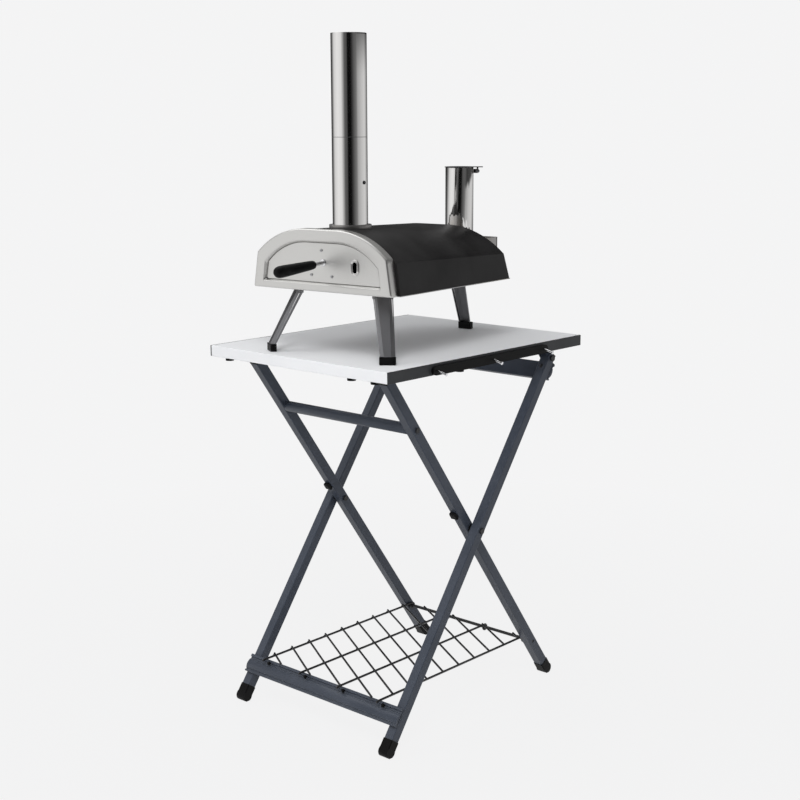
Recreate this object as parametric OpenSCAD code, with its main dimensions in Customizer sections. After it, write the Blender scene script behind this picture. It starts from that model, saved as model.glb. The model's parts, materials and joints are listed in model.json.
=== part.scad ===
// Folding outdoor table with a portable pizza oven standing on it.
// Units are millimetres, Z is up, and the origin lies on the floor under the middle of the object's box.
// -Y is the front, where the oven's door is, and +X is the side that carries the tool hooks.

/* [Tabletop] */
// Width of the tabletop over its two side edge strips
top_w = 574; // [560:1:620]
// Depth of the tabletop from front edge to back edge
top_d = 710; // [700:1:780]
// Thickness of the tabletop
top_t = 26; // [20:1:30]
// Height of the working surface above the floor
top_h = 900; // [890:1:910]
// Thickness of each side edge strip
strip_t = 3; // [2:0.5:5]

/* [Hook rail] */
// Length of the rail on the right edge
hook_rail_l = 422; // [380:1:460]
// Height of the rail
hook_rail_h = 20; // [16:1:24]
// Thickness of the rail
hook_rail_t = 8; // [6:1:12]
// How far each tool hook stands out from the rail
hook_reach = 26; // [20:1:34]
// Diameter of each tool hook
hook_d = 5; // [4:0.5:7]

/* [Folding legs] */
// Side of the square leg tube
leg_w = 25; // [24:0.5:26]
// Wall of the leg tube
leg_wall = 1.5; // [1.2:0.1:2.5]
// Corner radius of the leg tube
leg_corner = 2.5; // [2:0.1:4]
// Lean of every leg from the vertical, in degrees
leg_lean = 35.6; // [35:0.1:36.5]
// Distance between the centre lines of the two outer legs
outer_span = 484; // [470:1:500]
// Gap between an outer leg and the inner leg beside it
leg_gap = 7; // [6:0.5:9]
// Height of the pivot above the floor
pivot_h = 465; // [460:1:470]
// How far the pivot lies behind the middle of the tabletop
pivot_y = 6; // [0:1:12]
// Depth of the top hinge below the underside of the tabletop
hinge_drop = 27; // [26:1:30]

/* [Frame bars] */
// Height of the moulded front and rear bars, along the leg
bar_h = 45; // [40:1:48]
// Thickness of the moulded bars
bar_t = 12; // [10:0.5:14]
// Distance from the pivot down to the top of the front foot rail, along the leg
foot_rail_s = 455; // [450:1:460]
// Distance from the pivot up to the top of the rear rail, along the leg
rear_rail_s = 463; // [458:1:464]
// Diameter of the round cross tube
cross_d = 26; // [22:1:28]
// Distance from the pivot up to the cross tube, along the leg
cross_s = 336; // [320:1:350]

/* [Wire shelf] */
// Diameter of the long wires
long_wire_d = 5.5; // [4:0.5:7]
// Diameter of the slanting cross wires
cross_wire_d = 5; // [3:0.5:6]
// Distance from the middle of an outermost long wire to the leg beside it
shelf_side = 5.5; // [4:0.5:12]
// Distance between neighbouring cross wires, measured along a long wire
cross_pitch = 60; // [50:1:75]
// Slant of the cross wires against the front edge, in degrees
cross_slant = 30.6; // [20:0.1:40]
// Diameter of the rod that the shelf hinges on
rod_d = 8; // [7:0.5:10]
// Distance from the pivot down to the shelf rod, along the inner leg
rod_s = 442; // [436:1:446]

/* [Oven body] */
// How far the oven stands to the right of the middle of the tabletop
oven_x = 56; // [30:1:80]
// How far the oven's front plate stands ahead of the middle of the tabletop
oven_front = 325; // [300:1:335]
// Turn of the oven on the tabletop, in degrees
oven_yaw = 5.5; // [0:0.5:8]
// Height of the oven's base plate above the tabletop
base_h = 151; // [145:1:158]
// Half width of the oven at its base
base_half = 197; // [192:1:202]
// How far the oven's shoulder stands in from its base, on each side
shoulder_in = 12; // [8:1:15]
// Radius of the oven's roof arcs
roof_r = 201; // [198:1:206]
// Sideways distance from the oven's base edge in to the centre of its roof arc
roof_side = 153; // [147:1:159]
// Height of the roof arcs' centres above the tabletop
roof_z = 88; // [84:1:90]
// Depth of the front bezel
bezel_d = 24; // [20:1:30]
// Depth from the front plate to the rear bottom edge of the shell
shell_d = 467; // [455:1:480]
// How much wider the shell is than the bezel, on each side
shell_proud = 7; // [4:1:9]
// Thickness of the oven's outer sheet
sheet_t = 2; // [1.5:0.5:3]
// Clearance between the baking stone and the foot of the chamber's side walls
stone_side = 3; // [2:0.5:15]
// Thickness of the baking stone
stone_t = 12; // [10:1:14]

/* [Oven door] */
// Width of the front plate beside the door
door_side = 34; // [32:1:39]
// Radius of the door's top arcs
door_r = 155; // [150:1:158]
// Height of the door's arc centres above the tabletop
door_arc_z = 104; // [100:1:106]
// Height of the door's bottom edge above the tabletop
door_z = 171; // [169:1:176]
// How far the door sits back from the front plate
door_recess = 7; // [5:1:9]
// Length of the door's grip
grip_l = 120.5; // [100:0.5:140]
// Diameter of the door's grip
grip_d = 25; // [20:1:28]

/* [Chimney and hopper] */
// Radius of the chimney
chimney_r = 40; // [36:1:42]
// Distance of the chimney behind the front plate
chimney_y = 111; // [95:1:125]
// Height of the chimney's foot above the tabletop
chimney_z = 294; // [292:1:298]
// Height of the seam between the chimney's two lengths
seam_z = 488; // [450:1:520]
// Height of the chimney's mouth above the tabletop
chimney_top = 713; // [650:1:760]
// Radius of the hopper tube
hopper_r = 35; // [32:1:38]
// Distance of the hopper behind the rear bottom edge of the shell
hopper_back = 83; // [68:1:88]
// Height of the hopper's lid above the tabletop
hopper_top = 411; // [390:1:430]
// Wall of the chimney and hopper tubes
tube_wall = 1; // [0.8:0.1:1.5]

/* [Hidden] */

// Clearances and overruns shared by every piece
cut = 1;
gap = 0.3;
run_gap = 0.05;
round_fn = 64;
small_fn = 32;
slice_t = 1;

// Frame of the whole object: the middle of its box lies over the origin
grip_neck = 31;
grip_tip_y = oven_front + (grip_neck + grip_l) * cos(oven_yaw);
frame_x = -(hook_rail_t + hook_reach) / 2;
frame_y = (grip_tip_y - top_d / 2) / 2;

// Tabletop places
top_under = top_h - top_t;
half_w = top_w / 2;
half_d = top_d / 2;
bumper_d = 20;
bumper_h = 7;
bumper_inset = 15;
bumper_x_shares = [-0.82, 0.575, 0.82];
bumper_side_share = 0.28;

// Leg places, measured along each leg from the pivot
inner_span = outer_span - 2 * (leg_w + leg_gap);
outer_half = outer_span / 2;
inner_half = inner_span / 2;
hinge_s = (top_under - hinge_drop - pivot_h) / cos(leg_lean);
cap_wall = 1.2;
cap_r = leg_w / 2 + cap_wall;
cap_l = 27;
sole_cut = 0.8;
foot_s = (pivot_h - cap_r + sole_cut) / cos(leg_lean);
inner_top_s = (top_under - gap - leg_w / 2 - pivot_h) / cos(leg_lean);
outer_end = 9;
top_cap_t = 3;
plug_l = 18;

// Bolts, pins and washers of the frame
pivot_d = 8;
pivot_head_d = 15;
pivot_head_t = 4.5;
spacer_d = 22;
bracket_t = 2.5;
bracket_flange_w = 30;
bracket_front = 35;
bracket_back = 57;
bracket_low_y = 17;
bracket_low_z = 3;
bracket_round = 11.5;
rivet_t = 1.5;
screw_d = 5;
screw_head_d = 10;
screw_head_t = 2.5;
cross_bolt_head_d = 13;
cross_bolt_head_t = 4.5;
cross_wall = 1.5;
clip_s = 60;
clip_l = 20;
clip_t = 9;
clip_w = 16;

// Shelf places: the long wires pass over the top corner of the front foot rail
rod_y = pivot_y + rod_s * sin(leg_lean);
rod_z = pivot_h - rod_s * cos(leg_lean);
rod_collar_d = 14;
rod_collar_t = shelf_side - long_wire_d / 2 - gap;
wire_step = 0.1;
eye_r = rod_d / 2 + long_wire_d / 2 + run_gap;
wire_z = rod_z + eye_r;
rail_top_n = leg_w / 2 + bar_t;
rail_edge_y = pivot_y - foot_rail_s * sin(leg_lean) - rail_top_n * cos(leg_lean);
wire_reach = 14;
wire_front_y = rail_edge_y - wire_reach;
wire_tip_l = 5;
wire_tip_lean = 25;
wire_over = shelf_side - cross_wire_d / 2 - 2 * gap;
eye_start = -5;
eye_turn = 285;

// Oven outline from its base width
shoulder_half = base_half - shoulder_in;
roof_x = base_half - roof_side;
door_half = base_half - door_side;
shell_over = 44;

// Oven heights above the tabletop, and distances behind its front plate
shell_tilt = 1.55;
shell_rear_lean = 12.8;
shell_drop = 2;
liner_t = 1.5;
liner_margin = 4;
blanket_t = 8;
support_h = 4;
support_w = 24;
stone_y = 34;
stone_w = 2 * (door_half + liner_margin - liner_t - stone_side);
mouth_gap = 1;
mouth_lip = 4;
fuel_half = 88;
hopper_y = shell_d + hopper_back;
fuel_lap = 37;
fuel_y0 = shell_d - fuel_lap;
fuel_y1 = hopper_y + hopper_r + 2 * sheet_t;
fuel_top = 238;
fuel_floor = base_h + sheet_t;
rear_lap = 27;
rear_reach = 41;
stone_back = 81;
rear_y0 = shell_d - rear_lap;
rear_y1 = shell_d + rear_reach;
stone_d = rear_y0 - stone_y - stone_back;
rear_half = 112;
rear_shoulder_in = 11;
rear_arc_x = 22;
rear_r = 140;
stub_h = 36;
collar_r = chimney_r + 8;
spigot_h = 20;
chimney_screw_z = 388;
chimney_screw_l = 5;
chimney_head_d = 8;
door_t = 2;
door_skirt = 10;
door_lean = 6;
stud_x = 4;
stud_z = 215.4;
stud_d = 13;
stud_flange_d = 24;
stud_flange_t = 3;
grip_droop = 4.7;
grip_round = 6;
peep_side = 69;
peep_x = door_half - peep_side;
peep_z = 209.5;
peep_w = 22;
peep_h = 35;
peep_rim = 4;
peep_proud = 2.5;
door_screw_d = 7;
door_screw_t = 2;
door_screw_places = [[-0.5, 242.6], [-29.5, 187.5], [29, 186]];
lid_t = 2;
lid_turn = 36;
lid_pin_r = 45;
lid_pin_drop = 11;
lid_pin_d = 5;
lid_tab_r = 58;
lid_tab_w = 24;
lid_lug_w = 10;
lid_ear_t = 2;
lid_nut_d = 9;
lid_nut_t = 4;
tray_gap = 3;
tray_wall = 1.5;
tray_h = 22;
handle_w = 90;
handle_t = 2;
handle_reach = 8;
handle_drop = 12;

// Oven legs: splay is how far a foot stands out from its hinge
leg_pin_drop = 12;
leg_pin_d = 6;
oleg_top_w = 45;
oleg_foot_w = 34;
oleg_depth = 13;
oleg_foot_depth = 12;
oleg_fold = 9;
oleg_t = 2;
oleg_head = 9;
ofoot_h = 18;
ofoot_over = 1.5;
lug_w = 22;
lug_d = 7;
leg_inset = 77;
front_leg_x = base_half - leg_inset;
front_leg_y = 72;
front_leg_turn = 235;
front_leg_splay = 66;
front_leg_shift = 12.3;
rear_leg_back = 73;
rear_leg_y = shell_d + rear_leg_back;
rear_leg_splay = 41;

// Places every piece in the object's own frame
module in_frame() {
    translate([frame_x, frame_y, 0]) children();
}

// Puts a piece on a leg's centre line; lean is negative for the outer legs and positive for the inner ones
module on_leg(x, lean) {
    translate([x, pivot_y, pivot_h]) rotate([lean, 0, 0]) children();
}

// Oven pieces: X and Y follow the turned oven, and Z counts from the tabletop
module on_table() {
    in_frame() translate([oven_x, -oven_front, top_h]) rotate([0, 0, oven_yaw]) children();
}

module rod_x(d, l, fn = small_fn) {
    rotate([0, 90, 0]) cylinder(d = d, h = l, center = true, $fn = fn);
}

module round_square(w, r) {
    square([w - 2 * r, w], center = true);
    square([w, w - 2 * r], center = true);
    for (sx = [-1, 1], sy = [-1, 1]) {
        translate([sx * (w / 2 - r), sy * (w / 2 - r)]) circle(r = r, $fn = small_fn);
    }
}

// Square tube along Z from s0 to s1, drilled across at each [place, diameter]
module leg_tube(s0, s1, holes) {
    difference() {
        translate([0, 0, s0]) linear_extrude(s1 - s0) round_square(leg_w, leg_corner);
        translate([0, 0, s0 - cut]) linear_extrude(s1 - s0 + 2 * cut)
            round_square(leg_w - 2 * leg_wall, leg_corner - leg_wall / 2);
        for (h = holes) translate([0, 0, h[0]]) rod_x(h[1], leg_w + 2 * cut, round_fn);
    }
}

// Tabletop

module tabletop_panel() {
    panel_w = top_w - 2 * strip_t;
    in_frame() color("white")
        translate([-panel_w / 2, -half_d, top_under]) cube([panel_w, top_d, top_t]);
}

module side_edge_strips() {
    in_frame() color("#3c3f44")
        for (side = [-1, 1]) {
            translate([side * (half_w - strip_t / 2), 0, top_under + top_t / 2])
                cube([strip_t, top_d, top_t], center = true);
        }
}

hinge_y = pivot_y + hinge_s * sin(leg_lean);
hinge_z = pivot_h + hinge_s * cos(leg_lean);
plate_x = outer_half - leg_w / 2 - gap - bracket_t;

module bracket_outline() {
    difference() {
        union() {
            polygon([
                [-bracket_front, hinge_drop], [bracket_back, hinge_drop],
                [bracket_low_y, bracket_low_z], [bracket_low_y / 2, -bracket_round / 2],
                [-bracket_round, 0]
            ]);
            circle(r = bracket_round, $fn = round_fn);
        }
        circle(d = pivot_d + 2 * run_gap, $fn = round_fn);
    }
}

module hinge_brackets() {
    in_frame() color("#1c1d20")
        for (side = [0, 1]) mirror([side, 0, 0]) {
            translate([plate_x, hinge_y, hinge_z]) rotate([90, 0, 90])
                linear_extrude(bracket_t) bracket_outline();
            difference() {
                translate([plate_x, hinge_y - bracket_front, top_under - bracket_t])
                    cube([bracket_flange_w, bracket_front + bracket_back, bracket_t]);
                bracket_screw_places()
                    translate([0, 0, -cut]) cylinder(d = screw_d, h = bracket_t + 2 * cut, $fn = small_fn);
            }
        }
}

// The holes in one bracket's flange, at its lower face
module bracket_screw_places() {
    for (y = [-bracket_front + screw_head_d, bracket_back - screw_head_d]) {
        translate([plate_x + bracket_flange_w / 2 + bracket_t, hinge_y + y, top_under - bracket_t])
            children();
    }
}

module underside_screws() {
    in_frame() color("#8a8d92") {
        for (side = [0, 1]) mirror([side, 0, 0]) bracket_screw_places() {
            cylinder(d = screw_d, h = bracket_t, $fn = small_fn);
            translate([0, 0, -screw_head_t]) cylinder(d = screw_head_d, h = screw_head_t, $fn = small_fn);
        }
    }
}

module tabletop_bumpers() {
    in_frame() color("#141517") {
        for (share = bumper_x_shares)
            translate([share * half_w, -half_d + bumper_inset, top_under - bumper_h])
                cylinder(d = bumper_d, h = bumper_h, $fn = small_fn);
        translate([half_w - bumper_inset, -bumper_side_share * half_d, top_under - bumper_h])
            cylinder(d = bumper_d, h = bumper_h, $fn = small_fn);
    }
}

// Hook rail on the right edge, with a round end at each side and a hole for each hook
rail_rise = 0.5;
rail_mid_z = top_under + rail_rise + hook_rail_h / 2;
rail_mid_y = -4;
hook_edge = 14;
hook_ys = [for (share = [-1, 0, 1]) rail_mid_y + share * (hook_rail_l / 2 - hook_edge)];
hook_droop = 14;
hook_tip_d = 8;
hook_tip_t = 3;
hook_sink = 5;

module hook_rail() {
    in_frame() color("#141517")
        difference() {
            translate([half_w, 0, rail_mid_z]) rotate([90, 0, 90]) linear_extrude(hook_rail_t) {
                translate([rail_mid_y, 0])
                    square([hook_rail_l - hook_rail_h, hook_rail_h], center = true);
                for (end = [-1, 1]) translate([rail_mid_y + end * (hook_rail_l - hook_rail_h) / 2, 0])
                    circle(d = hook_rail_h, $fn = round_fn);
            }
            for (y = hook_ys) hook_place(y) translate([0, 0, -hook_sink])
                cylinder(d = hook_d, h = hook_sink + hook_reach, $fn = small_fn);
        }
}

// Local Z runs out along the hook, which droops a little
module hook_place(y) {
    translate([half_w + hook_rail_t, y, rail_mid_z]) rotate([0, 90 + hook_droop, 0]) children();
}

module tool_hooks() {
    in_frame() color("silver")
        for (y = hook_ys) hook_place(y) {
            translate([0, 0, -hook_sink])
                cylinder(d = hook_d, h = hook_sink + hook_reach - hook_tip_t, $fn = small_fn);
            translate([0, 0, hook_reach - hook_tip_t])
                cylinder(d = hook_tip_d, h = hook_tip_t, $fn = small_fn);
        }
}

// Outer legs and their bars

module outer_leg(side) {
    in_frame() color("#2b2f36") on_leg(side * outer_half, -leg_lean)
        leg_tube(-foot_s, hinge_s + outer_end, [[0, pivot_d], [hinge_s, pivot_d]]);
}

module outer_leg_left() {
    outer_leg(-1);
}

module outer_leg_right() {
    outer_leg(1);
}

bar_rise = 2;
bar_bevel = 1.5;
bar_trough = 4;
bar_groove = 3;
bar_step = 1;

// Section of the moulded bars: x runs down the leg from the bar's top, y stands out from the leg
module bar_section() {
    lip = bar_t - bar_rise;
    polygon([
        [0, 0], [0, lip - bar_bevel], [bar_bevel, lip], [0.14 * bar_h, lip],
        [0.18 * bar_h, lip - bar_trough], [0.27 * bar_h, lip - bar_trough],
        [0.31 * bar_h, lip - bar_step], [0.82 * bar_h, lip - bar_step],
        [0.84 * bar_h, lip - bar_groove], [0.9 * bar_h, lip - bar_groove], [0.92 * bar_h, lip],
        [bar_h - bar_bevel, lip], [bar_h, lip - bar_bevel], [bar_h, 0]
    ]);
}

// The bar's rounded belly, between its upper trough and its lower groove
module bar_belly() {
    belly_r = 0.45 * bar_h;
    intersection() {
        translate([0.565 * bar_h, bar_t - belly_r]) circle(r = belly_r, $fn = round_fn);
        translate([0.33 * bar_h, bar_t / 2]) square([0.47 * bar_h, bar_t]);
    }
}

// A bar across both outer legs; top_s is its upper edge and face is +1 for the front side of the legs
module outer_bar(top_s, face) {
    bar_w = outer_span + leg_w;
    hollow_t = bar_t - bar_rise - bar_trough - 2 * leg_wall;
    in_frame() color("#2b2f36") on_leg(0, -leg_lean)
        translate([-bar_w / 2, -face * leg_w / 2, top_s]) rotate([0, 90, 0])
            mirror([0, face > 0 ? 1 : 0, 0])
            difference() {
                union() {
                    linear_extrude(bar_w) bar_section();
                    linear_extrude(bar_w) bar_belly();
                }
                translate([leg_wall, leg_wall, -cut])
                    cube([bar_h - 2 * leg_wall, hollow_t, bar_w + 2 * cut]);
            }
}

module front_foot_rail() {
    outer_bar(-foot_rail_s, 1);
}

module rear_top_rail() {
    outer_bar(rear_rail_s, -1);
}

module rail_screws() {
    in_frame() color("#8a8d92")
        for (side = [-1, 1]) {
            on_leg(side * outer_half, -leg_lean) {
                translate([0, leg_w / 2, -foot_rail_s - bar_h / 2]) rotate([-90, 0, 0])
                    cylinder(d = screw_head_d, h = screw_head_t, $fn = small_fn);
                translate([0, -leg_w / 2, rear_rail_s - bar_h / 2]) rotate([90, 0, 0])
                    cylinder(d = screw_head_d, h = screw_head_t, $fn = small_fn);
            }
        }
}

// Plastic foot over the end of a leg, rounded, with a narrow flat sole on the floor
module foot_caps(half, lean) {
    in_frame() color("#101113")
        difference() {
            for (side = [-1, 1]) on_leg(side * half, lean) difference() {
                union() {
                    translate([0, 0, -foot_s]) linear_extrude(cap_l)
                        round_square(leg_w + 2 * cap_wall, leg_corner);
                    translate([0, 0, -foot_s]) rod_x(2 * cap_r, leg_w + 2 * cap_wall, round_fn);
                }
                translate([0, 0, -foot_s]) linear_extrude(cap_l + cut) round_square(leg_w, leg_corner);
            }
            translate([0, 0, -cap_r]) cube([2 * top_w, 2 * top_d, 2 * cap_r], center = true);
        }
}

module outer_foot_caps() {
    foot_caps(outer_half, -leg_lean);
}

module outer_top_caps() {
    in_frame() color("#101113")
        for (side = [-1, 1]) on_leg(side * outer_half, -leg_lean) translate([0, 0, hinge_s + outer_end])
            linear_extrude(top_cap_t) round_square(leg_w, leg_corner);
}

module pivot_bolts() {
    bolt_l = 2 * leg_w + leg_gap + pivot_head_t;
    in_frame() color("#8a8d92")
        for (side = [0, 1]) mirror([side, 0, 0]) on_leg(outer_half + leg_w / 2, 0) {
            translate([-bolt_l / 2, 0, 0]) rod_x(pivot_d, bolt_l);
            translate([pivot_head_t / 2, 0, 0]) rod_x(pivot_head_d, pivot_head_t);
        }
}

module pivot_nuts() {
    in_frame() color("#8a8d92")
        for (side = [0, 1]) mirror([side, 0, 0])
            on_leg(inner_half - leg_w / 2 - gap - pivot_head_t / 2, 0) difference() {
                rotate([0, 90, 0]) cylinder(d = pivot_head_d, h = pivot_head_t, center = true, $fn = 6);
                rod_x(pivot_d, pivot_head_t + 2 * cut);
            }
}

module pivot_spacers() {
    in_frame() color("#101113")
        for (side = [0, 1]) mirror([side, 0, 0])
            on_leg(outer_half - leg_w / 2 - (leg_gap - gap) / 2, 0) difference() {
                rod_x(spacer_d, leg_gap - gap);
                rod_x(pivot_d, leg_gap + 2 * cut);
            }
}

module top_hinge_pins() {
    pin_l = leg_w + gap + bracket_t + gap + rivet_t;
    in_frame() color("#8a8d92")
        for (side = [0, 1]) mirror([side, 0, 0]) translate([outer_half + leg_w / 2, hinge_y, hinge_z]) {
            translate([-pin_l / 2, 0, 0]) rod_x(pivot_d, pin_l);
            translate([pivot_head_t / 2, 0, 0]) rod_x(pivot_head_d, pivot_head_t);
            translate([rivet_t / 2 - pin_l, 0, 0]) rod_x(pivot_head_d, rivet_t);
        }
}

// Inner legs and what joins them

module inner_leg(side) {
    holes = [[0, pivot_d + 2 * run_gap], [cross_s, pivot_d], [-rod_s, rod_d]];
    in_frame() color("#2b2f36") on_leg(side * inner_half, leg_lean)
        leg_tube(-foot_s, inner_top_s, holes);
}

module inner_leg_left() {
    inner_leg(-1);
}

module inner_leg_right() {
    inner_leg(1);
}

module inner_cross_tube() {
    tube_l = inner_span - leg_w;
    in_frame() color("#2b2f36") on_leg(0, leg_lean) translate([0, 0, cross_s]) difference() {
        rod_x(cross_d, tube_l, round_fn);
        rod_x(cross_d - 2 * cross_wall, tube_l - 2 * plug_l, round_fn);
        for (side = [-1, 1]) translate([side * tube_l / 2, 0, 0]) rod_x(pivot_d, 2 * plug_l);
    }
}

module cross_tube_bolts() {
    in_frame() color("#8a8d92")
        for (side = [0, 1]) mirror([side, 0, 0]) on_leg(inner_half + leg_w / 2, leg_lean)
            translate([0, 0, cross_s]) {
                translate([-(leg_w + plug_l) / 2, 0, 0]) rod_x(pivot_d, leg_w + plug_l);
                translate([cross_bolt_head_t / 2, 0, 0]) rod_x(cross_bolt_head_d, cross_bolt_head_t);
            }
}

module inner_foot_caps() {
    foot_caps(inner_half, leg_lean);
}

module inner_top_caps() {
    in_frame() color("#101113")
        for (side = [-1, 1]) on_leg(side * inner_half, leg_lean) translate([0, 0, inner_top_s]) {
            difference() {
                rod_x(leg_w, leg_w, round_fn);
                translate([0, 0, -leg_w]) cube([2 * leg_w, 2 * leg_w, 2 * leg_w], center = true);
            }
            translate([0, 0, -plug_l]) linear_extrude(plug_l)
                round_square(leg_w - 2 * leg_wall, leg_corner - leg_wall / 2);
        }
}

module shelf_hinge_rod() {
    in_frame() color("#17181b") on_leg(0, leg_lean) translate([0, 0, -rod_s]) {
        rod_x(rod_d, inner_span + leg_w - 2 * leg_wall, round_fn);
        for (side = [-1, 1]) translate([side * (inner_half - (leg_w + rod_collar_t) / 2), 0, 0])
            rod_x(rod_collar_d, rod_collar_t);
    }
}

module leg_clips() {
    in_frame() color("#101113")
        for (side = [-1, 1]) on_leg(side * inner_half, leg_lean)
            translate([0, -leg_w / 2 - clip_t / 2, clip_s]) {
                cube([clip_w, clip_t, clip_l - clip_t], center = true);
                for (end = [-1, 1]) translate([0, 0, end * (clip_l - clip_t) / 2]) rod_x(clip_t, clip_w);
            }
}

// Wire shelf

long_shares = [-1, -1 / 3, 1 / 3, 1];
shelf_half = inner_half - leg_w / 2 - shelf_side;

module shelf_long_wires() {
    in_frame() color("#101113")
        for (share = long_shares) {
            x = share * shelf_half;
            translate([x, rod_y, wire_z]) rotate([90, 0, 0])
                cylinder(d = long_wire_d, h = rod_y - wire_front_y, $fn = small_fn);
            translate([x, wire_front_y, wire_z]) sphere(d = long_wire_d + 2 * wire_step, $fn = small_fn);
            translate([x, wire_front_y, wire_z]) rotate([90 + wire_tip_lean, 0, 0])
                cylinder(d = long_wire_d, h = wire_tip_l, $fn = small_fn);
            translate([x, rod_y, rod_z]) rotate([90, 0, 90]) rotate([0, 0, 90 - eye_start])
                rotate_extrude(angle = -eye_turn, $fn = round_fn) translate([eye_r, 0])
                    circle(d = long_wire_d - 2 * wire_step, $fn = small_fn);
        }
}

// Each cross wire crosses the left wire at one of these places, and may start or end on the end lines
cross_z = wire_z + (long_wire_d + cross_wire_d) / 2 - wire_step;
shelf_back = rod_y - eye_r - long_wire_d;
cross_start_share = 0.6;
cross_count = ceil((shelf_back - wire_front_y + 2 * shelf_half * tan(cross_slant)) / cross_pitch);
cross_left_ys = [for (i = [0 : cross_count - 1]) wire_front_y + (cross_start_share + i) * cross_pitch];

module shelf_cross_wires() {
    slope = tan(cross_slant);
    in_frame() color("#101113")
        for (y = cross_left_ys) {
            x0 = max(-shelf_half - wire_over, -shelf_half + (y - shelf_back) / slope);
            x1 = min(shelf_half + wire_over, -shelf_half + (y - wire_front_y) / slope);
            if (x1 - x0 > 2 * wire_over)
                translate([x0, y - (x0 + shelf_half) * slope, cross_z]) rotate([0, 90, -cross_slant])
                    cylinder(d = cross_wire_d, h = (x1 - x0) / cos(cross_slant), $fn = small_fn);
        }
}

// Oven body

// Arch outline in x and z: two leaning side lines that run up to two arcs and a flat roof,
// drawn in by inset all round
module arch(base, shoulder, arc_x, arc_z, arc_r, low, inset) {
    r = arc_r - inset;
    foot = base - inset;
    lift = low + inset;
    shoulder_z = arc_z + sqrt(pow(r, 2) - pow(shoulder - inset - arc_x, 2));
    lean = (base - shoulder) / (shoulder_z - lift);
    top = foot - lean * (arc_z + 2 * r - lift);
    intersection() {
        polygon([[-foot, lift], [foot, lift], [top, arc_z + 2 * r], [-top, arc_z + 2 * r]]);
        union() {
            translate([-2 * base, 0]) square([4 * base, arc_z]);
            translate([-arc_x, 0]) square([2 * arc_x, arc_z + r]);
            for (side = [-1, 1]) translate([side * arc_x, arc_z]) circle(r = r, $fn = 2 * round_fn);
        }
    }
}

module bezel_arch(inset) {
    arch(base_half, shoulder_half, roof_x, roof_z, roof_r, base_h, inset);
}

module mouth_arch(inset) {
    arch(door_half, door_half - door_lean, roof_x, door_arc_z, door_r, door_z, inset);
}

// Pushes an outline from y0 to y1, front to back
module push(y0, y1) {
    translate([0, y1, 0]) rotate([90, 0, 0]) linear_extrude(y1 - y0) children();
}

// The shell's outline is wider than the bezel's at the sides and a little lower at the roof
module shell_solid(inset, y0, y1) {
    roof_slope() push(y0, y1) shell_arch(inset);
}

module shell_arch(inset) {
    arch(base_half + shell_proud, shoulder_half + shell_proud + shell_drop, roof_x,
        roof_z - shell_proud - shell_drop, roof_r + shell_proud, base_h, inset);
}

// The shell slopes down a little towards the rear
module roof_slope() {
    translate([0, bezel_d, base_h]) rotate([-shell_tilt, 0, 0]) translate([0, -bezel_d, -base_h])
        children();
}

// The shell's space from front_y back to its leaning rear edge, above the base pan
module shell_volume(inset, front_y, extra) {
    difference() {
        shell_solid(inset, front_y - shell_over, shell_d + 2 * shell_over);
        translate([0, shell_d + extra, fuel_floor]) rotate([shell_rear_lean, 0, 0])
            translate([-2 * base_half, 0, -2 * base_half])
                cube([4 * base_half, shell_d, 4 * base_half]);
        translate([-2 * base_half, -cut, fuel_floor - roof_r])
            cube([4 * base_half, 2 * shell_d, roof_r]);
        translate([-2 * base_half, front_y - 2 * roof_r, 0])
            cube([4 * base_half, 2 * roof_r, 2 * roof_r]);
    }
}

module flue_cut(r, z0, z1) {
    translate([0, chimney_y, z0]) cylinder(r = r, h = z1 - z0, $fn = round_fn);
}

module oven_base_pan() {
    on_table() color("#9a9ca0") {
        translate([-base_half - shell_proud, bezel_d, base_h])
            cube([2 * (base_half + shell_proud), shell_d - bezel_d, sheet_t]);
        translate([-fuel_half, shell_d - sheet_t, base_h])
            cube([2 * fuel_half, fuel_y1 - shell_d + sheet_t, sheet_t]);
    }
}

// Outer shell, with a narrow flange turned in behind the front bezel's rim
module oven_shell() {
    on_table() color("#26262a")
        difference() {
            shell_volume(0, bezel_d, 0);
            shell_volume(sheet_t, bezel_d + sheet_t, cut);
            push(bezel_d - cut, bezel_d + sheet_t + cut) bezel_arch(3 * sheet_t);
            translate([-base_half, 0, fuel_floor - cut])
                cube([2 * base_half, bezel_d + 2 * sheet_t, 3 * sheet_t]);
            flue_cut(chimney_r - tube_wall, roof_z, chimney_z + shell_over);
        }
}

module liner_arch(inset) {
    arch(door_half + liner_margin, door_half - liner_margin / 2, roof_x, door_arc_z,
        door_r + liner_margin, fuel_floor, inset);
}

module insulation_blanket() {
    on_table() color("#e8e4da")
        difference() {
            push(bezel_d + sheet_t, rear_y0 - 2 * sheet_t) liner_arch(-blanket_t);
            push(0, shell_d) liner_arch(0);
            translate([-base_half, 0, 0]) cube([2 * base_half, shell_d, fuel_floor + gap]);
            flue_cut(chimney_r, roof_z, chimney_z);
        }
}

// Inner liner, closed at the rear but for the port that the fuel box fills
module chamber_liner() {
    liner_floor = door_half + liner_margin - liner_t;
    liner_back = rear_y0 - sheet_t - liner_t;
    on_table() color("#b5b7ba")
        difference() {
            push(bezel_d - sheet_t, rear_y0 - sheet_t) liner_arch(0);
            push(0, liner_back) liner_arch(liner_t);
            translate([-liner_floor, 0, 0]) cube([2 * liner_floor, liner_back, fuel_floor + 2 * liner_t]);
            translate([-fuel_half - gap, liner_back - cut, 0])
                cube([2 * (fuel_half + gap), shell_d, fuel_top + gap]);
            flue_cut(chimney_r - tube_wall, roof_z, chimney_z);
        }
}

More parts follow.
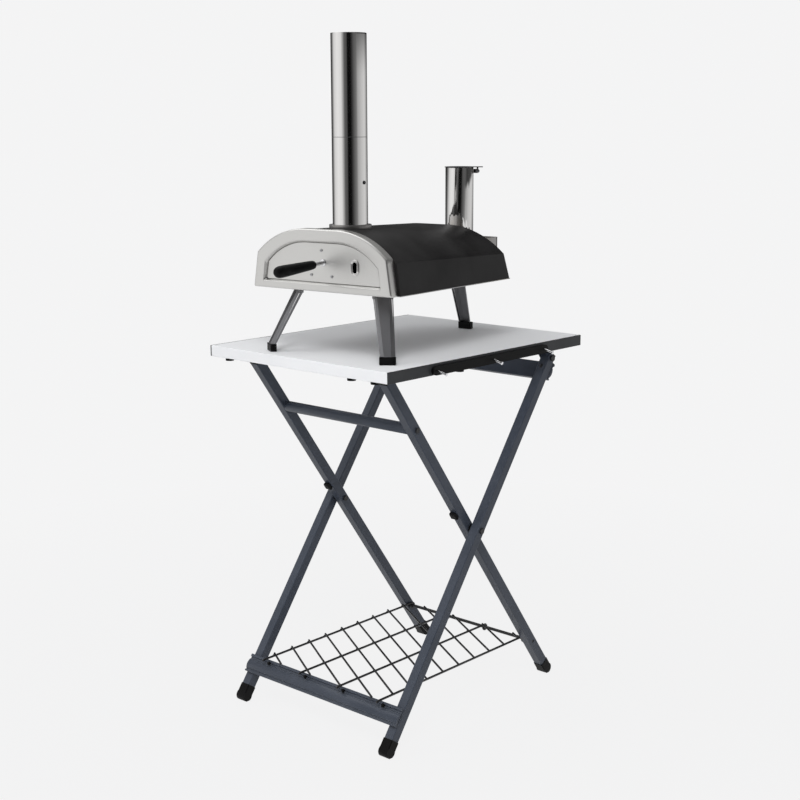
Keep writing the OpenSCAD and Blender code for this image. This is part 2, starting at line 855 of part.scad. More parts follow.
// Front plate with a turned-back rim and a stepped mouth, which the door fills
module front_bezel() {
    wide = mouth_gap + mouth_lip;
    on_table() color("#c4c5c7")
        difference() {
            push(0, bezel_d) bezel_arch(0);
            difference() {
                push(sheet_t, bezel_d + cut) bezel_arch(sheet_t);
                push(0, door_recess) mouth_arch(-wide - sheet_t);
                push(0, bezel_d - sheet_t - gap) mouth_arch(-mouth_gap - sheet_t);
            }
            push(-cut, door_recess - sheet_t) mouth_arch(-wide);
            push(-cut, bezel_d + cut) mouth_arch(-mouth_gap);
        }
}

// Rear hood inside the shell's rear edge, drawn in towards the fuel box
module rear_form(inset, ahead) {
    roof_slope() hull() {
        push(rear_y0 - slice_t - ahead, rear_y0) shell_arch(sheet_t + gap + inset);
        push(rear_y1 - slice_t - inset, rear_y1 - inset)
            arch(rear_half, rear_half - rear_shoulder_in, rear_arc_x, door_arc_z, rear_r, base_h, inset);
    }
}

module rear_cover() {
    on_table() color("#8f9194")
        difference() {
            rear_form(0, 0);
            rear_form(sheet_t, cut);
            translate([-fuel_half - gap, rear_y0 - 2 * cut, 0])
                cube([2 * (fuel_half + gap), shell_d, fuel_top + gap]);
            translate([-2 * base_half, 0, -roof_r + fuel_floor]) cube([4 * base_half, 2 * shell_d, roof_r]);
        }
}

module stone_supports() {
    on_table() color("#8f9194")
        for (side = [-1, 1])
            translate([side * stone_w / 3, stone_y + stone_d / 2, fuel_floor + support_h / 2])
                cube([support_w, stone_d, support_h], center = true);
}

module baking_stone() {
    on_table() color("#cbbfa8")
        translate([-stone_w / 2, stone_y, fuel_floor + support_h]) cube([stone_w, stone_d, stone_t]);
}

// Flange that follows the roof, with a stub that the chimney slides over
module chimney_collar() {
    stub_r = chimney_r - tube_wall - gap;
    on_table() color("#b5b7ba")
        difference() {
            union() {
                difference() {
                    flue_cut(collar_r, chimney_z - shell_over / 2, chimney_z);
                    shell_solid(0, 0, shell_d);
                }
                flue_cut(stub_r, door_arc_z + door_r + liner_margin - liner_t, chimney_z + stub_h);
            }
            flue_cut(stub_r - tube_wall, roof_z, chimney_z + stub_h + cut);
        }
}

module fuel_box() {
    on_table() color("#8f9194")
        difference() {
            translate([-fuel_half, fuel_y0, fuel_floor])
                cube([2 * fuel_half, fuel_y1 - fuel_y0 - sheet_t, fuel_top - fuel_floor]);
            translate([-fuel_half + sheet_t, fuel_y0 - cut, fuel_floor + sheet_t])
                cube([2 * (fuel_half - sheet_t), fuel_y1, fuel_top - fuel_floor - 2 * sheet_t]);
            translate([0, hopper_y, fuel_top - 2 * sheet_t])
                cylinder(r = hopper_r - tube_wall, h = 4 * sheet_t, $fn = round_fn);
        }
}

module hopper_tube() {
    on_table() color("#c4c5c7") translate([0, hopper_y, 0]) {
        difference() {
            translate([0, 0, fuel_top])
                cylinder(r = hopper_r, h = hopper_top - lid_t - fuel_top, $fn = round_fn);
            cylinder(r = hopper_r - tube_wall, h = hopper_top, $fn = round_fn);
        }
        rotate([0, 0, lid_turn]) for (side = [-1, 1]) difference() {
            union() {
                translate([hopper_r - tube_wall, side * (lid_lug_w + lid_ear_t + gap) / 2 - lid_ear_t / 2,
                    hopper_top - lid_pin_drop - lid_pin_d])
                    cube([lid_pin_r - hopper_r + tube_wall, lid_ear_t, 2 * lid_pin_d]);
                translate([0, side * (lid_lug_w + lid_ear_t + gap) / 2, 0]) lid_pin_axis()
                    cylinder(r = lid_pin_d, h = lid_ear_t, center = true, $fn = small_fn);
            }
            lid_pin_axis() cylinder(d = lid_pin_d, h = lid_tab_r, center = true, $fn = small_fn);
        }
    }
}

module lid_pin_axis() {
    translate([lid_pin_r, 0, hopper_top - lid_pin_drop]) rotate([90, 0, 0]) children();
}

module lid_hinge_bolt() {
    ear_out = lid_lug_w / 2 + gap / 2 + lid_ear_t;
    on_table() color("#77797c") translate([0, hopper_y, 0]) rotate([0, 0, lid_turn])
        lid_pin_axis() {
            cylinder(d = lid_pin_d, h = 2 * (ear_out + lid_nut_t), center = true, $fn = small_fn);
            for (side = [-1, 1]) translate([0, 0, side * (ear_out + lid_nut_t / 2)])
                cylinder(d = lid_nut_d, h = lid_nut_t, center = true, $fn = 6);
        }
}

module hopper_lid() {
    lug_t = 2 * lid_ear_t;
    on_table() color("#3a3b3e") translate([0, hopper_y, 0]) rotate([0, 0, lid_turn]) {
        translate([0, 0, hopper_top - lid_t + gap])
            cylinder(r = hopper_r + lid_t, h = lid_t - gap, $fn = round_fn);
        translate([0, -lid_tab_w / 2, hopper_top - lid_t + gap])
            cube([lid_tab_r, lid_tab_w, lid_t - gap]);
        difference() {
            union() {
                translate([lid_pin_r - lug_t / 2, -lid_lug_w / 2, hopper_top - lid_pin_drop])
                    cube([lug_t, lid_lug_w, lid_pin_drop - lid_t / 2]);
                lid_pin_axis()
                    cylinder(d = lid_pin_d + 2 * lid_ear_t, h = lid_lug_w, center = true, $fn = small_fn);
            }
            lid_pin_axis()
                cylinder(d = lid_pin_d + 2 * run_gap, h = lid_tab_r, center = true, $fn = small_fn);
        }
    }
}

// Oven door

module door_panel() {
    on_table() color("#cfd0d2")
        difference() {
            push(door_recess, door_recess + door_skirt) mouth_arch(0);
            push(door_recess + door_t, door_recess + door_skirt + cut) mouth_arch(door_t);
            peephole(peep_w - 2 * peep_rim, peep_h - 2 * peep_rim,
                door_recess - cut, door_recess + 2 * door_t);
        }
}

// Upright slot with round ends, from y0 to y1
module peephole(w, h, y0, y1) {
    push(y0, y1) translate([peep_x, peep_z]) {
        square([w, h - w], center = true);
        for (end = [-1, 1]) translate([0, end * (h - w) / 2]) circle(d = w, $fn = round_fn);
    }
}

module peephole_rim() {
    on_table() color("#e0e0e2")
        difference() {
            peephole(peep_w, peep_h, door_recess - peep_proud, door_recess);
            peephole(peep_w - 2 * peep_rim, peep_h - 2 * peep_rim,
                door_recess - 2 * peep_proud, door_recess + cut);
        }
}

// Local Z runs forward along the handle from the door's face
module on_handle() {
    translate([stud_x, door_recess, stud_z]) rotate([90 + grip_droop, 0, 0]) children();
}

module handle_stud() {
    on_table() color("#b0b1b4")
        difference() {
            on_handle() {
                translate([0, 0, -stud_flange_t])
                    cylinder(d = stud_d, h = grip_neck + door_recess + stud_flange_t, $fn = small_fn);
                translate([0, 0, -stud_flange_t])
                    cylinder(d = stud_flange_d, h = 2 * stud_flange_t, $fn = small_fn);
            }
            translate([-base_half, door_recess, 0]) cube([2 * base_half, shell_d, roof_r + roof_z]);
        }
}

module door_grip() {
    on_table() color("#141517") on_handle()
        translate([0, 0, grip_neck + door_recess]) rotate_extrude($fn = round_fn) {
            square([grip_d / 2 - grip_round, grip_l]);
            translate([0, grip_round]) square([grip_d / 2, grip_l - 2 * grip_round]);
            for (z = [grip_round, grip_l - grip_round]) translate([grip_d / 2 - grip_round, z])
                intersection() {
                    circle(r = grip_round, $fn = small_fn);
                    translate([-grip_round / 2, -grip_round]) square([2 * grip_round, 2 * grip_round]);
                }
        }
}

module door_screws() {
    on_table() color("#9a9ca0")
        for (place = door_screw_places) translate([place[0], door_recess, place[1]]) rotate([90, 0, 0])
            cylinder(d = door_screw_d, h = door_screw_t, $fn = small_fn);
}

// Chimney

module chimney_lower() {
    in_r = chimney_r - tube_wall;
    on_table() color("#c4c5c7") translate([0, chimney_y, 0])
        difference() {
            rotate_extrude($fn = round_fn) polygon([
                [in_r, chimney_z], [chimney_r, chimney_z], [chimney_r, seam_z],
                [in_r - run_gap, seam_z], [in_r - run_gap, seam_z + spigot_h],
                [in_r - tube_wall, seam_z + spigot_h], [in_r - tube_wall, seam_z - spigot_h],
                [in_r, seam_z - spigot_h]
            ]);
            translate([0, 0, chimney_screw_z]) rotate([0, 90, 0])
                cylinder(d = screw_d, h = 2 * chimney_r, $fn = small_fn);
        }
}

module chimney_upper() {
    on_table() color("#c4c5c7") translate([0, chimney_y, 0])
        difference() {
            translate([0, 0, seam_z]) cylinder(r = chimney_r, h = chimney_top - seam_z, $fn = round_fn);
            translate([0, 0, seam_z - cut])
                cylinder(r = chimney_r - tube_wall, h = chimney_top - seam_z + 2 * cut, $fn = round_fn);
        }
}

module chimney_screw() {
    on_table() color("#5a5b5e") translate([chimney_r, chimney_y, chimney_screw_z]) rotate([0, 90, 0]) {
        translate([0, 0, -chimney_screw_l]) cylinder(d = screw_d, h = chimney_screw_l, $fn = small_fn);
        cylinder(d = chimney_head_d, h = screw_head_t, $fn = small_fn);
    }
}

// Fuel tray with its rear hatch

module fuel_tray() {
    half = fuel_half - sheet_t - tray_gap;
    z0 = fuel_floor + sheet_t + gap;
    on_table() color("#77797c")
        difference() {
            translate([-half, fuel_y0 + tray_gap, z0])
                cube([2 * half, fuel_y1 - fuel_y0 - tray_gap, tray_h]);
            translate([-half + tray_wall, fuel_y0 + tray_gap + tray_wall, z0 + tray_wall])
                cube([2 * (half - tray_wall), fuel_y1 - fuel_y0 - tray_gap - 2 * tray_wall, tray_h]);
            for (i = [-3 : 3]) translate([i * half / 4, fuel_y0 + tray_gap + half / 4, z0 - cut])
                cube([tray_gap, half, tray_wall + 2 * cut]);
        }
}

module hatch_plate() {
    on_table() color("#8f9194")
        translate([-fuel_half, fuel_y1, fuel_floor]) cube([2 * fuel_half, sheet_t, fuel_top - fuel_floor]);
}

module hatch_handle() {
    on_table() color("#5a5b5e")
        translate([-handle_w / 2, fuel_y1 + sheet_t, fuel_top - 2 * handle_drop]) {
            cube([handle_w, handle_reach, handle_t]);
            cube([handle_w, handle_t, handle_drop]);
        }
}

// Folding oven legs: each has a frame at its hinge, with local Y pointing outwards and Z up

pin_z = base_h - leg_pin_drop;

module at_front_hinge(side) {
    mirror([side > 0 ? 1 : 0, 0, 0]) translate([-front_leg_x, front_leg_y, pin_z])
        rotate([0, 0, front_leg_turn - 90]) children();
}

module at_rear_hinge() {
    translate([0, rear_leg_y, pin_z]) children();
}

// Folded sheet section at one end of a leg: open to the inside, with a bent corner at each side
module oleg_slab(w, depth, inset) {
    side = w / 2 - inset;
    flat = w / 2 - oleg_fold - inset / 2;
    open_y = -depth / 2 - (inset > 0 ? cut : 0);
    fold_y = depth / 2 - oleg_fold + inset;
    face_y = depth / 2 - inset;
    linear_extrude(slice_t) polygon([
        [-side, open_y], [-side, fold_y], [-flat, face_y], [flat, face_y], [side, fold_y], [side, open_y]
    ]);
}

module oleg_form(splay, shift, inset, extra) {
    drop = pin_z - ofoot_h;
    hull() {
        translate([0, 0, oleg_head - slice_t + extra]) oleg_slab(oleg_top_w, oleg_depth, inset);
        translate([shift, splay, -drop - extra]) oleg_slab(oleg_foot_w, oleg_foot_depth, inset);
    }
}

module oven_leg(splay, shift) {
    difference() {
        oleg_form(splay, shift, 0, 0);
        oleg_form(splay, shift, oleg_t, cut);
        rod_x(leg_pin_d + 2 * run_gap, 2 * oleg_top_w);
    }
}

module oven_foot(splay, shift) {
    drop = pin_z - ofoot_h;
    w = oleg_foot_w + 2 * ofoot_over;
    d = oleg_foot_depth + 2 * ofoot_over;
    translate([shift - w / 2, splay - d / 2, -pin_z]) cube([w, d, ofoot_h]);
}

module oven_leg_left() {
    on_table() color("#8b8e93") at_front_hinge(-1) oven_leg(front_leg_splay, front_leg_shift);
}

module oven_leg_right() {
    on_table() color("#8b8e93") at_front_hinge(1) oven_leg(front_leg_splay, front_leg_shift);
}

module oven_leg_rear() {
    on_table() color("#8b8e93") at_rear_hinge() oven_leg(rear_leg_splay, 0);
}

module oven_foot_left() {
    on_table() color("#101113") at_front_hinge(-1) oven_foot(front_leg_splay, front_leg_shift);
}

module oven_foot_right() {
    on_table() color("#101113") at_front_hinge(1) oven_foot(front_leg_splay, front_leg_shift);
}

module oven_foot_rear() {
    on_table() color("#101113") at_rear_hinge() oven_foot(rear_leg_splay, 0);
}

module hinge_lug() {
    difference() {
        union() {
            translate([-lug_w / 2, -lug_d / 2, 0]) cube([lug_w, lug_d, leg_pin_drop]);
            rod_x(2 * leg_pin_d, lug_w);
        }
        rod_x(leg_pin_d, 2 * lug_w);
    }
}

module leg_hinge_lugs() {
    on_table() color("#8f9194") {
        for (side = [-1, 1]) at_front_hinge(side) hinge_lug();
        at_rear_hinge() hinge_lug();
    }
}

module leg_hinge_pins() {
    on_table() color("#77797c") {
        for (side = [-1, 1]) at_front_hinge(side) rod_x(leg_pin_d, oleg_top_w + oleg_t);
        at_rear_hinge() rod_x(leg_pin_d, oleg_top_w + oleg_t);
    }
}

tabletop_panel();
side_edge_strips();
hinge_brackets();
underside_screws();
tabletop_bumpers();
hook_rail();
tool_hooks();
outer_leg_left();
outer_leg_right();
front_foot_rail();
rear_top_rail();
rail_screws();
outer_foot_caps();
outer_top_caps();
pivot_bolts();
pivot_nuts();
pivot_spacers();
top_hinge_pins();
inner_leg_left();
inner_leg_right();
inner_cross_tube();
cross_tube_bolts();
inner_foot_caps();
inner_top_caps();
shelf_hinge_rod();
leg_clips();
shelf_long_wires();
shelf_cross_wires();
oven_base_pan();
oven_shell();
insulation_blanket();
chamber_liner();
front_bezel();
rear_cover();
baking_stone();
stone_supports();
chimney_collar();
fuel_box();
hopper_tube();
lid_hinge_bolt();
leg_hinge_lugs();
leg_hinge_pins();
door_panel();
peephole_rim();
door_grip();
handle_stud();
door_screws();
chimney_lower();
chimney_upper();
chimney_screw();
hopper_lid();
fuel_tray();
hatch_plate();
hatch_handle();
oven_leg_left();
oven_leg_right();
oven_leg_rear();
oven_foot_left();
oven_foot_right();
oven_foot_rear();
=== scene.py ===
import json
from math import atan2, cos, pi, radians, sin, sqrt

import bmesh
import bpy
import numpy as np
from bpy.props import FloatProperty, FloatVectorProperty, PointerProperty
from mathutils import Matrix, Vector


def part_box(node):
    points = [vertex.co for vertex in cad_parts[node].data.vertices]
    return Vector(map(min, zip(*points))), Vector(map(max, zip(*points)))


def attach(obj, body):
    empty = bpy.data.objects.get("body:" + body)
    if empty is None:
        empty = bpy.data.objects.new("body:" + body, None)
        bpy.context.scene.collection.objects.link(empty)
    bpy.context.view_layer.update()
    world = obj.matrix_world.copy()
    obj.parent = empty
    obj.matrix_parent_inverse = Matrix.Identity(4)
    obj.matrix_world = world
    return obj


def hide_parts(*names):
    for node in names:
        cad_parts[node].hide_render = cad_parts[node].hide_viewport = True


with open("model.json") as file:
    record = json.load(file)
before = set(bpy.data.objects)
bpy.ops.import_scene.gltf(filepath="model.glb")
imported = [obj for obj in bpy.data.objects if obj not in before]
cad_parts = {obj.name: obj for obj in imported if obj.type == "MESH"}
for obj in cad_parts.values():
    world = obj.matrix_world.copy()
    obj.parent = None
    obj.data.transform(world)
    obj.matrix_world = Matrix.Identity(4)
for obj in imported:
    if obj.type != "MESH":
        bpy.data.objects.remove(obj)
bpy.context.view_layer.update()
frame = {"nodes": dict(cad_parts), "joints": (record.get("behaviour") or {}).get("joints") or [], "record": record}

bl_info = {
    "name": "Outdoor Oven Table",
    "version": (1, 0, 0),
    "blender": (4, 5, 0),
    "location": "3D View > Sidebar > Oven Table",
    "description": "Finishes, dressed pieces and studio for a folding table with a portable pizza oven",
    "category": "Object",
}

# Millimetres in metres, and the CAD nodes with each one's body and material slot
MM = 0.001
NODES = frame["nodes"]
BODY_OF = {n: body for body, nodes in frame["record"]["behaviour"]["bodies"].items() for n in nodes}
SLOT_OF = {row["node"]: row["material_slot"] for row in frame["record"]["subparts"]}


def joint(name):
    """The record's joint of that name."""
    return next(j for j in frame["joints"] if j["name"] == name)


def points_of(node):
    """A CAD node's vertices as rows of x, y and z."""
    flat = np.empty(len(NODES[node].data.vertices) * 3)
    NODES[node].data.vertices.foreach_get("co", flat)
    return flat.reshape(-1, 3)


def oven_matrix():
    """The oven's own frame: X to its right, Y to its rear and Z up, from the foot of its front plate."""
    back = -Vector(joint("door_slide")["axis"]).normalized()
    up = Vector((0, 0, 1))
    right = back.cross(up)
    plate = points_of("front_bezel")
    across = plate @ np.array(right)
    origin = right * float(across.min() + across.max()) / 2 + back * float((plate @ np.array(back)).min())
    origin.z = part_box("tabletop_panel")[1].z
    return Matrix.Translation(origin) @ Matrix((right, back, up)).transposed().to_4x4()


OVEN = oven_matrix()

# The camera's place and turn, solved from the table's corners in the photograph
CAMERA_PLACE = (2.2327, -2.4386, 1.4194)
CAMERA_AZIMUTH = 41.98
CAMERA_DIP = 11.25
CAMERA_ROLL = -0.206
CAMERA_LENS = 62.8
SENSOR_WIDTH = 36.0

# The oven's front, in millimetres from the foot of its front plate
BEZEL = {"half": 197, "shoulder": 185, "arc_x": 44, "arc_z": 88, "radius": 201, "low": 151}
MOUTH = {"half": 163, "shoulder": 157, "arc_x": 44, "arc_z": 104, "radius": 155, "low": 171}
BEZEL_DEPTH = 24
BEZEL_CORNER = 3.0
SHEET = 2
MOUTH_GAP = 0.5
MOUTH_LIP = 4
MOUTH_BACK = BEZEL_DEPTH - SHEET - 0.3
DOOR_RECESS = 7
DOOR_SKIRT = 10
DOOR_SHEET = 1.6
DOOR_ROUNDING = 1.5
DOOR_CORNER = 4.0
PEEP = {"x": 94, "z": 209.5, "w": 22, "h": 35, "rim": 4}

# The chimney, the handle and the hooks, in millimetres and, where they droop, in degrees
CHIMNEY = {"y": 111, "radius": 40, "wall": 1, "foot": 294, "seam": 488, "top": 713, "spigot": 20, "roll": 0.5,
           "screw_head": 2.5}
HANDLE = {"x": 4, "z": 215.4, "droop": 3.2, "neck": 31, "length": 127.5, "radius": 13.2}
HOOK = {"droop": 14, "disc": 3.1}

# Bolts, in millimetres: radius and height of the head, and radius of the shank
BOLTS = {"pivot_bolts": (7.5, 4.5, 4), "cross_tube_bolts": (6.5, 4.5, 4)}

# Rounding of those CAD nodes that need more or less than the rest, in metres
EDGE_WIDTHS = {"oven_shell": 0.0009, "tabletop_panel": 0.0010, "side_edge_strips": 0.0006,
               "hook_rail": 0.0012, "outer_foot_caps": 0.0050, "inner_foot_caps": 0.0050}
for side in ("left", "right", "rear"):
    EDGE_WIDTHS["oven_leg_" + side] = 0.0009
    EDGE_WIDTHS["oven_foot_" + side] = 0.0022

# A rounding wider than this, in metres, is divided more finely
LARGE_ROUNDING = 0.003

# How finely round stretches are divided, and how close in metres two points count as one
ARCH_STEPS = 10
EDGE_STEPS = 6
SLOT_STEPS = 12
HEAD_POINTS = 24
CHIMNEY_POINTS = 96
SAME_POINT = 2e-6

# What every colour setting shares
COLOUR = {"subtype": "COLOR", "size": 3, "min": 0, "max": 1}


class StageSettings(bpy.types.PropertyGroup):
    """The studio round the object."""

    backdrop: FloatVectorProperty(
        name="Backdrop", description="Colour of the floor and of what the camera sees behind the object",
        default=(0.905, 0.905, 0.908), **COLOUR)
    ambient: FloatProperty(
        name="Ambient", description="Strength of the even light from all round", min=0, max=2, default=0.76)
    key_power: FloatProperty(
        name="Key Light", description="Power of the large light at the front left", unit="POWER", min=0,
        default=4)
    fill_power: FloatProperty(
        name="Top Light", description="Power of the large light overhead", unit="POWER", min=0, default=18)
    front_power: FloatProperty(
        name="Front Light", description="Power of the light high above the camera", unit="POWER", min=0,
        default=80)
    floor_size: FloatProperty(
        name="Floor Size", description="Side of the square floor", unit="LENGTH", min=2, default=80)


class TableFinish(bpy.types.PropertyGroup):
    """Colours of the table."""

    top: FloatVectorProperty(
        name="Top", description="White laminate of the tabletop", default=(0.89, 0.90, 0.92), **COLOUR)
    trim: FloatVectorProperty(
        name="Edge Strips", description="Charcoal strips on the side edges",
        default=(0.026, 0.028, 0.031), **COLOUR)
    coat: FloatVectorProperty(
        name="Frame Coat", description="Blue-black powder coat of legs and bars",
        default=(0.046, 0.056, 0.078), **COLOUR)
    plastic: FloatVectorProperty(
        name="Black Mouldings", description="Caps, rail, bumpers and grip",
        default=(0.0022, 0.0022, 0.0025), **COLOUR)
    wire: FloatVectorProperty(
        name="Wire Coat", description="Black coat of the wire shelf", default=(0.007, 0.007, 0.008), **COLOUR)


class OvenFinish(bpy.types.PropertyGroup):
    """Colours of the oven."""

    steel: FloatVectorProperty(
        name="Brushed Steel", description="Front plate and door", default=(0.63, 0.625, 0.61), **COLOUR)
    tube: FloatVectorProperty(
        name="Polished Tube", description="Chimney and hopper", default=(0.74, 0.73, 0.72), **COLOUR)
    shell: FloatVectorProperty(
        name="Shell", description="Matte black heat-proof coat", default=(0.0090, 0.0085, 0.0088), **COLOUR)
    legs: FloatVectorProperty(
        name="Folding Legs", description="Grey metallic coat of the oven's legs",
        default=(0.20, 0.20, 0.21), **COLOUR)


class DetailSizes(bpy.types.PropertyGroup):
    """Small sizes of the dressed pieces."""

    edge_round: FloatProperty(
        name="Edge Rounding", description="Radius that softens the edges of frame parts", unit="LENGTH",
        min=0, max=0.003, default=0.0009)
    plate_round: FloatProperty(
        name="Plate Rounding", description="Radius of the front plate's outer edge", unit="LENGTH",
        min=0.001, max=0.008, default=0.0045)
    weld_radius: FloatProperty(
        name="Weld Bead", description="Radius of the beads where shelf wires cross", unit="LENGTH",
        min=0.001, max=0.004, default=0.0026)


# Shader node helpers

def feed(tree, socket, value):
    """Gives a socket a value, or a link where the value is itself a socket."""
    if isinstance(value, bpy.types.NodeSocket):
        tree.links.new(value, socket)
    else:
        socket.default_value = value


def add(tree, kind, settings=None, **inputs):
    """A shader node of that kind, with attributes from settings and its inputs fed by name."""
    node = tree.nodes.new("ShaderNode" + kind)
    for key, value in (settings or {}).items():
        setattr(node, key, value)
    for key, value in inputs.items():
        feed(tree, node.inputs[key.replace("_", " ")], value)
    return node


def arrange(tree):
    """Lays a finished tree out in columns, each node to the left of all that it feeds."""
    column_width, row_height = 240, 260
    columns = {node.name: 0 for node in tree.nodes}
    for _ in tree.nodes:
        for link in tree.links:
            source, target = link.from_node.name, link.to_node.name
            columns[source] = max(columns[source], columns[target] + 1)
    rows = {}
    for node in tree.nodes:
        column = columns[node.name]
        rows[column] = rows.get(column, 0) + 1
        node.location = (-column_width * column, -row_height * rows[column])


def worked(tree, kind, operation, *values):
    """The outputs of a Math or VectorMath node, its first inputs fed with sockets or numbers."""
    node = add(tree, kind, {"operation": operation})
    for socket, value in zip(node.inputs, values):
        feed(tree, socket, value)
    return node.outputs


def math_node(tree, operation, a, b):
    """The result of a Math node; a and b are sockets or numbers."""
    return worked(tree, "Math", operation, a, b)[0]


def ranged(tree, value, low, high, to_low, to_high):
    """value mapped from low..high to to_low..to_high, clamped."""
    return add(tree, "MapRange", Value=value, From_Min=low, From_Max=high, To_Min=to_low,
               To_Max=to_high).outputs["Result"]


def noise(tree, point, **values):
    """A noise texture's value at point."""
    return add(tree, "TexNoise", Vector=point, **values).outputs["Fac"]


def new_group(name, inputs, outputs):
    """A shader node group with named float or vector inputs and float outputs."""
    tree = bpy.data.node_groups.new(name, "ShaderNodeTree")
    for label, value in inputs.items():
        kind = "NodeSocketVector" if isinstance(value, tuple) else "NodeSocketFloat"
        tree.interface.new_socket(name=label, in_out="INPUT", socket_type=kind).default_value = value
    for label in outputs:
        tree.interface.new_socket(name=label, in_out="OUTPUT", socket_type="NodeSocketFloat")
    source, sink = tree.nodes.new("NodeGroupInput"), tree.nodes.new("NodeGroupOutput")
    return tree, source.outputs, sink.inputs


def object_point(tree):
    """The surface point in the object's own space, which moves with the piece."""
    return add(tree, "TexCoord").outputs["Object"]


def brushed_group():
    """Fine parallel scratches: stretch is small along the scratches and large across them."""
    tree, given, out = new_group("Brushed Lines", {"Stretch": (1.0, 1.0, 1.0), "Unevenness": 0.5},
                                 ("Height", "Roughness Shift", "Shade"))
    scaled = worked(tree, "VectorMath", "MULTIPLY", object_point(tree), given["Stretch"])[0]
    lines = noise(tree, scaled, Scale=1.0, Detail=3.0, Roughness=0.62)
    broad = noise(tree, object_point(tree), Scale=9.0, Detail=2.0)
    uneven = math_node(tree, "MULTIPLY", broad, given["Unevenness"])
    mixed = math_node(tree, "ADD", lines, uneven)
    feed(tree, out["Height"], lines)
    feed(tree, out["Roughness Shift"], ranged(tree, mixed, 0.4, 1.1, -0.06, 0.08))
    feed(tree, out["Shade"], ranged(tree, mixed, 0.4, 1.1, 0.0, 1.0))
    return tree


def coat_group():
    """The fine orange peel of a sprayed coat, with slow changes of tone over the surface."""
    tree, given, out = new_group("Coat Grain", {"Grain": 900.0, "Mottle": 14.0}, ("Height", "Tone"))
    point = object_point(tree)
    slow = noise(tree, point, Scale=given["Mottle"], Detail=3.0)
    feed(tree, out["Height"], noise(tree, point, Scale=given["Grain"], Detail=2.0, Roughness=0.55))
    feed(tree, out["Tone"], ranged(tree, slow, 0.3, 0.7, 0.0, 1.0))
    return tree


def wear_group():
    """Outer edges rubbed a little bright, and dust that settles on faces that look up."""
    tree, given, out = new_group("Edge Wear", {"Radius": 0.0012, "Amount": 0.6, "Dust": 0.15},
                                 ("Edge", "Dust"))
    soft = add(tree, "Bevel", {"samples": 4}, Radius=given["Radius"]).outputs["Normal"]
    flat = add(tree, "NewGeometry").outputs["Normal"]
    broken = noise(tree, object_point(tree), Scale=70.0, Detail=4.0)
    agreed = worked(tree, "VectorMath", "DOT_PRODUCT", soft, flat)["Value"]
    turned = ranged(tree, agreed, 0.99, 0.75, 0.0, 1.0)
    patches = ranged(tree, broken, 0.35, 0.6, 0.3, 1.0)
    rubbed = math_node(tree, "MULTIPLY", turned, patches)
    feed(tree, out["Edge"], math_node(tree, "MULTIPLY", rubbed, given["Amount"]))
    facing_up = add(tree, "SeparateXYZ", Vector=flat).outputs["Z"]
    up = ranged(tree, facing_up, 0.5, 1.0, 0.0, 1.0)
    patchy = math_node(tree, "MULTIPLY", up, broken)
    feed(tree, out["Dust"], math_node(tree, "MULTIPLY", patchy, given["Dust"]))
    return tree


GROUPS = {}


def effect(tree, maker, **values):
    """One of the shared effect groups, placed in a material with its own values."""
    if maker not in GROUPS:
        GROUPS[maker] = maker()
        arrange(GROUPS[maker])
    return add(tree, "Group", {"node_tree": GROUPS[maker]}, **values).outputs


def new_material(name, roughness, metallic=0.0, **constants):
    """A material with a Principled shader whose constant values sit on its own sockets."""
    material = bpy.data.materials.new(name)
    material.use_nodes = True
    tree = material.node_tree
    sockets = tree.nodes["Principled BSDF"].inputs
    for key, value in {"Metallic": metallic, "Roughness": roughness, **constants}.items():
        sockets[key.replace("_", " ")].default_value = value
    return material, tree, sockets


def tinted(tree, factor, first, second, socket=None):
    """A mix of two colours by factor, fed to socket if there is one; the first may itself be a socket."""
    mix = add(tree, "Mix", {"data_type": "RGBA"})
    feed(tree, mix.inputs[0], factor)
    for slot, colour in ((mix.inputs[6], first), (mix.inputs[7], second)):
        feed(tree, slot, colour if isinstance(colour, bpy.types.NodeSocket) else (*colour, 1))
    if socket is not None:
        feed(tree, socket, mix.outputs[2])
    return mix.outputs[2]


def bumped(tree, height, strength, distance, socket):
    """Feeds socket with a normal bent by height."""
    bump = add(tree, "Bump", Height=height, Strength=strength, Distance=distance)
    feed(tree, socket, bump.outputs["Normal"])


def lighter(colour, share):
    """colour moved towards white by share."""
    return tuple(c + (1 - c) * share for c in colour)


def darker(colour, share):
    """colour moved towards black by share."""
    return tuple(c * (1 - share) for c in colour)


# Finishes, one function for each kind of surface

def grained(name, roughness, grain, mottle, bump, depth, spread=None, metallic=0.0, **constants):
    """A material whose normal, and over spread its roughness, has a coat's grain.

    With it come its tree, its Base Color socket and the slow changes of tone to colour it by.
    """
    material, tree, sockets = new_material(name, roughness, metallic, **constants)
    coat = effect(tree, coat_group, Grain=grain, Mottle=mottle)
    if spread:
        feed(tree, sockets["Roughness"], ranged(tree, coat["Tone"], 0, 1, *spread))
    bumped(tree, coat["Height"], bump, depth, sockets["Normal"])
    return material, tree, sockets["Base Color"], coat["Tone"]


def laminate(name, colour):
    """Smooth laminate with a faint satin grain and hardly seen smudges."""
    material, tree, base, tone = grained(name, 0.60, grain=420.0, mottle=5.0, bump=0.05, depth=0.0002,
                                         spread=(0.66, 0.54), Specular_IOR_Level=0.06)
    tinted(tree, tone, darker(colour, 0.03), colour, base)
    return material


def sprayed(name, colour, roughness, metallic=0.0, edge=0.10, bump=0.16, dust=0.12, sheen=0.35):
    """Sprayed coat: orange peel, slow changes of tone, rubbed edges and a little dust."""
    material, tree, base, tone = grained(name, roughness, grain=900.0, mottle=11.0, bump=bump, depth=0.0003,
                                         spread=(roughness - 0.04, roughness + 0.05), metallic=metallic,
                                         Specular_IOR_Level=sheen)
    wear = effect(tree, wear_group, Amount=0.8, Dust=dust)
    coat = tinted(tree, tone, darker(colour, 0.12), lighter(colour, 0.012))
    rubbed = tinted(tree, wear["Edge"], coat, lighter(colour, edge))
    tinted(tree, wear["Dust"], rubbed, lighter(colour, 0.25), base)
    return material


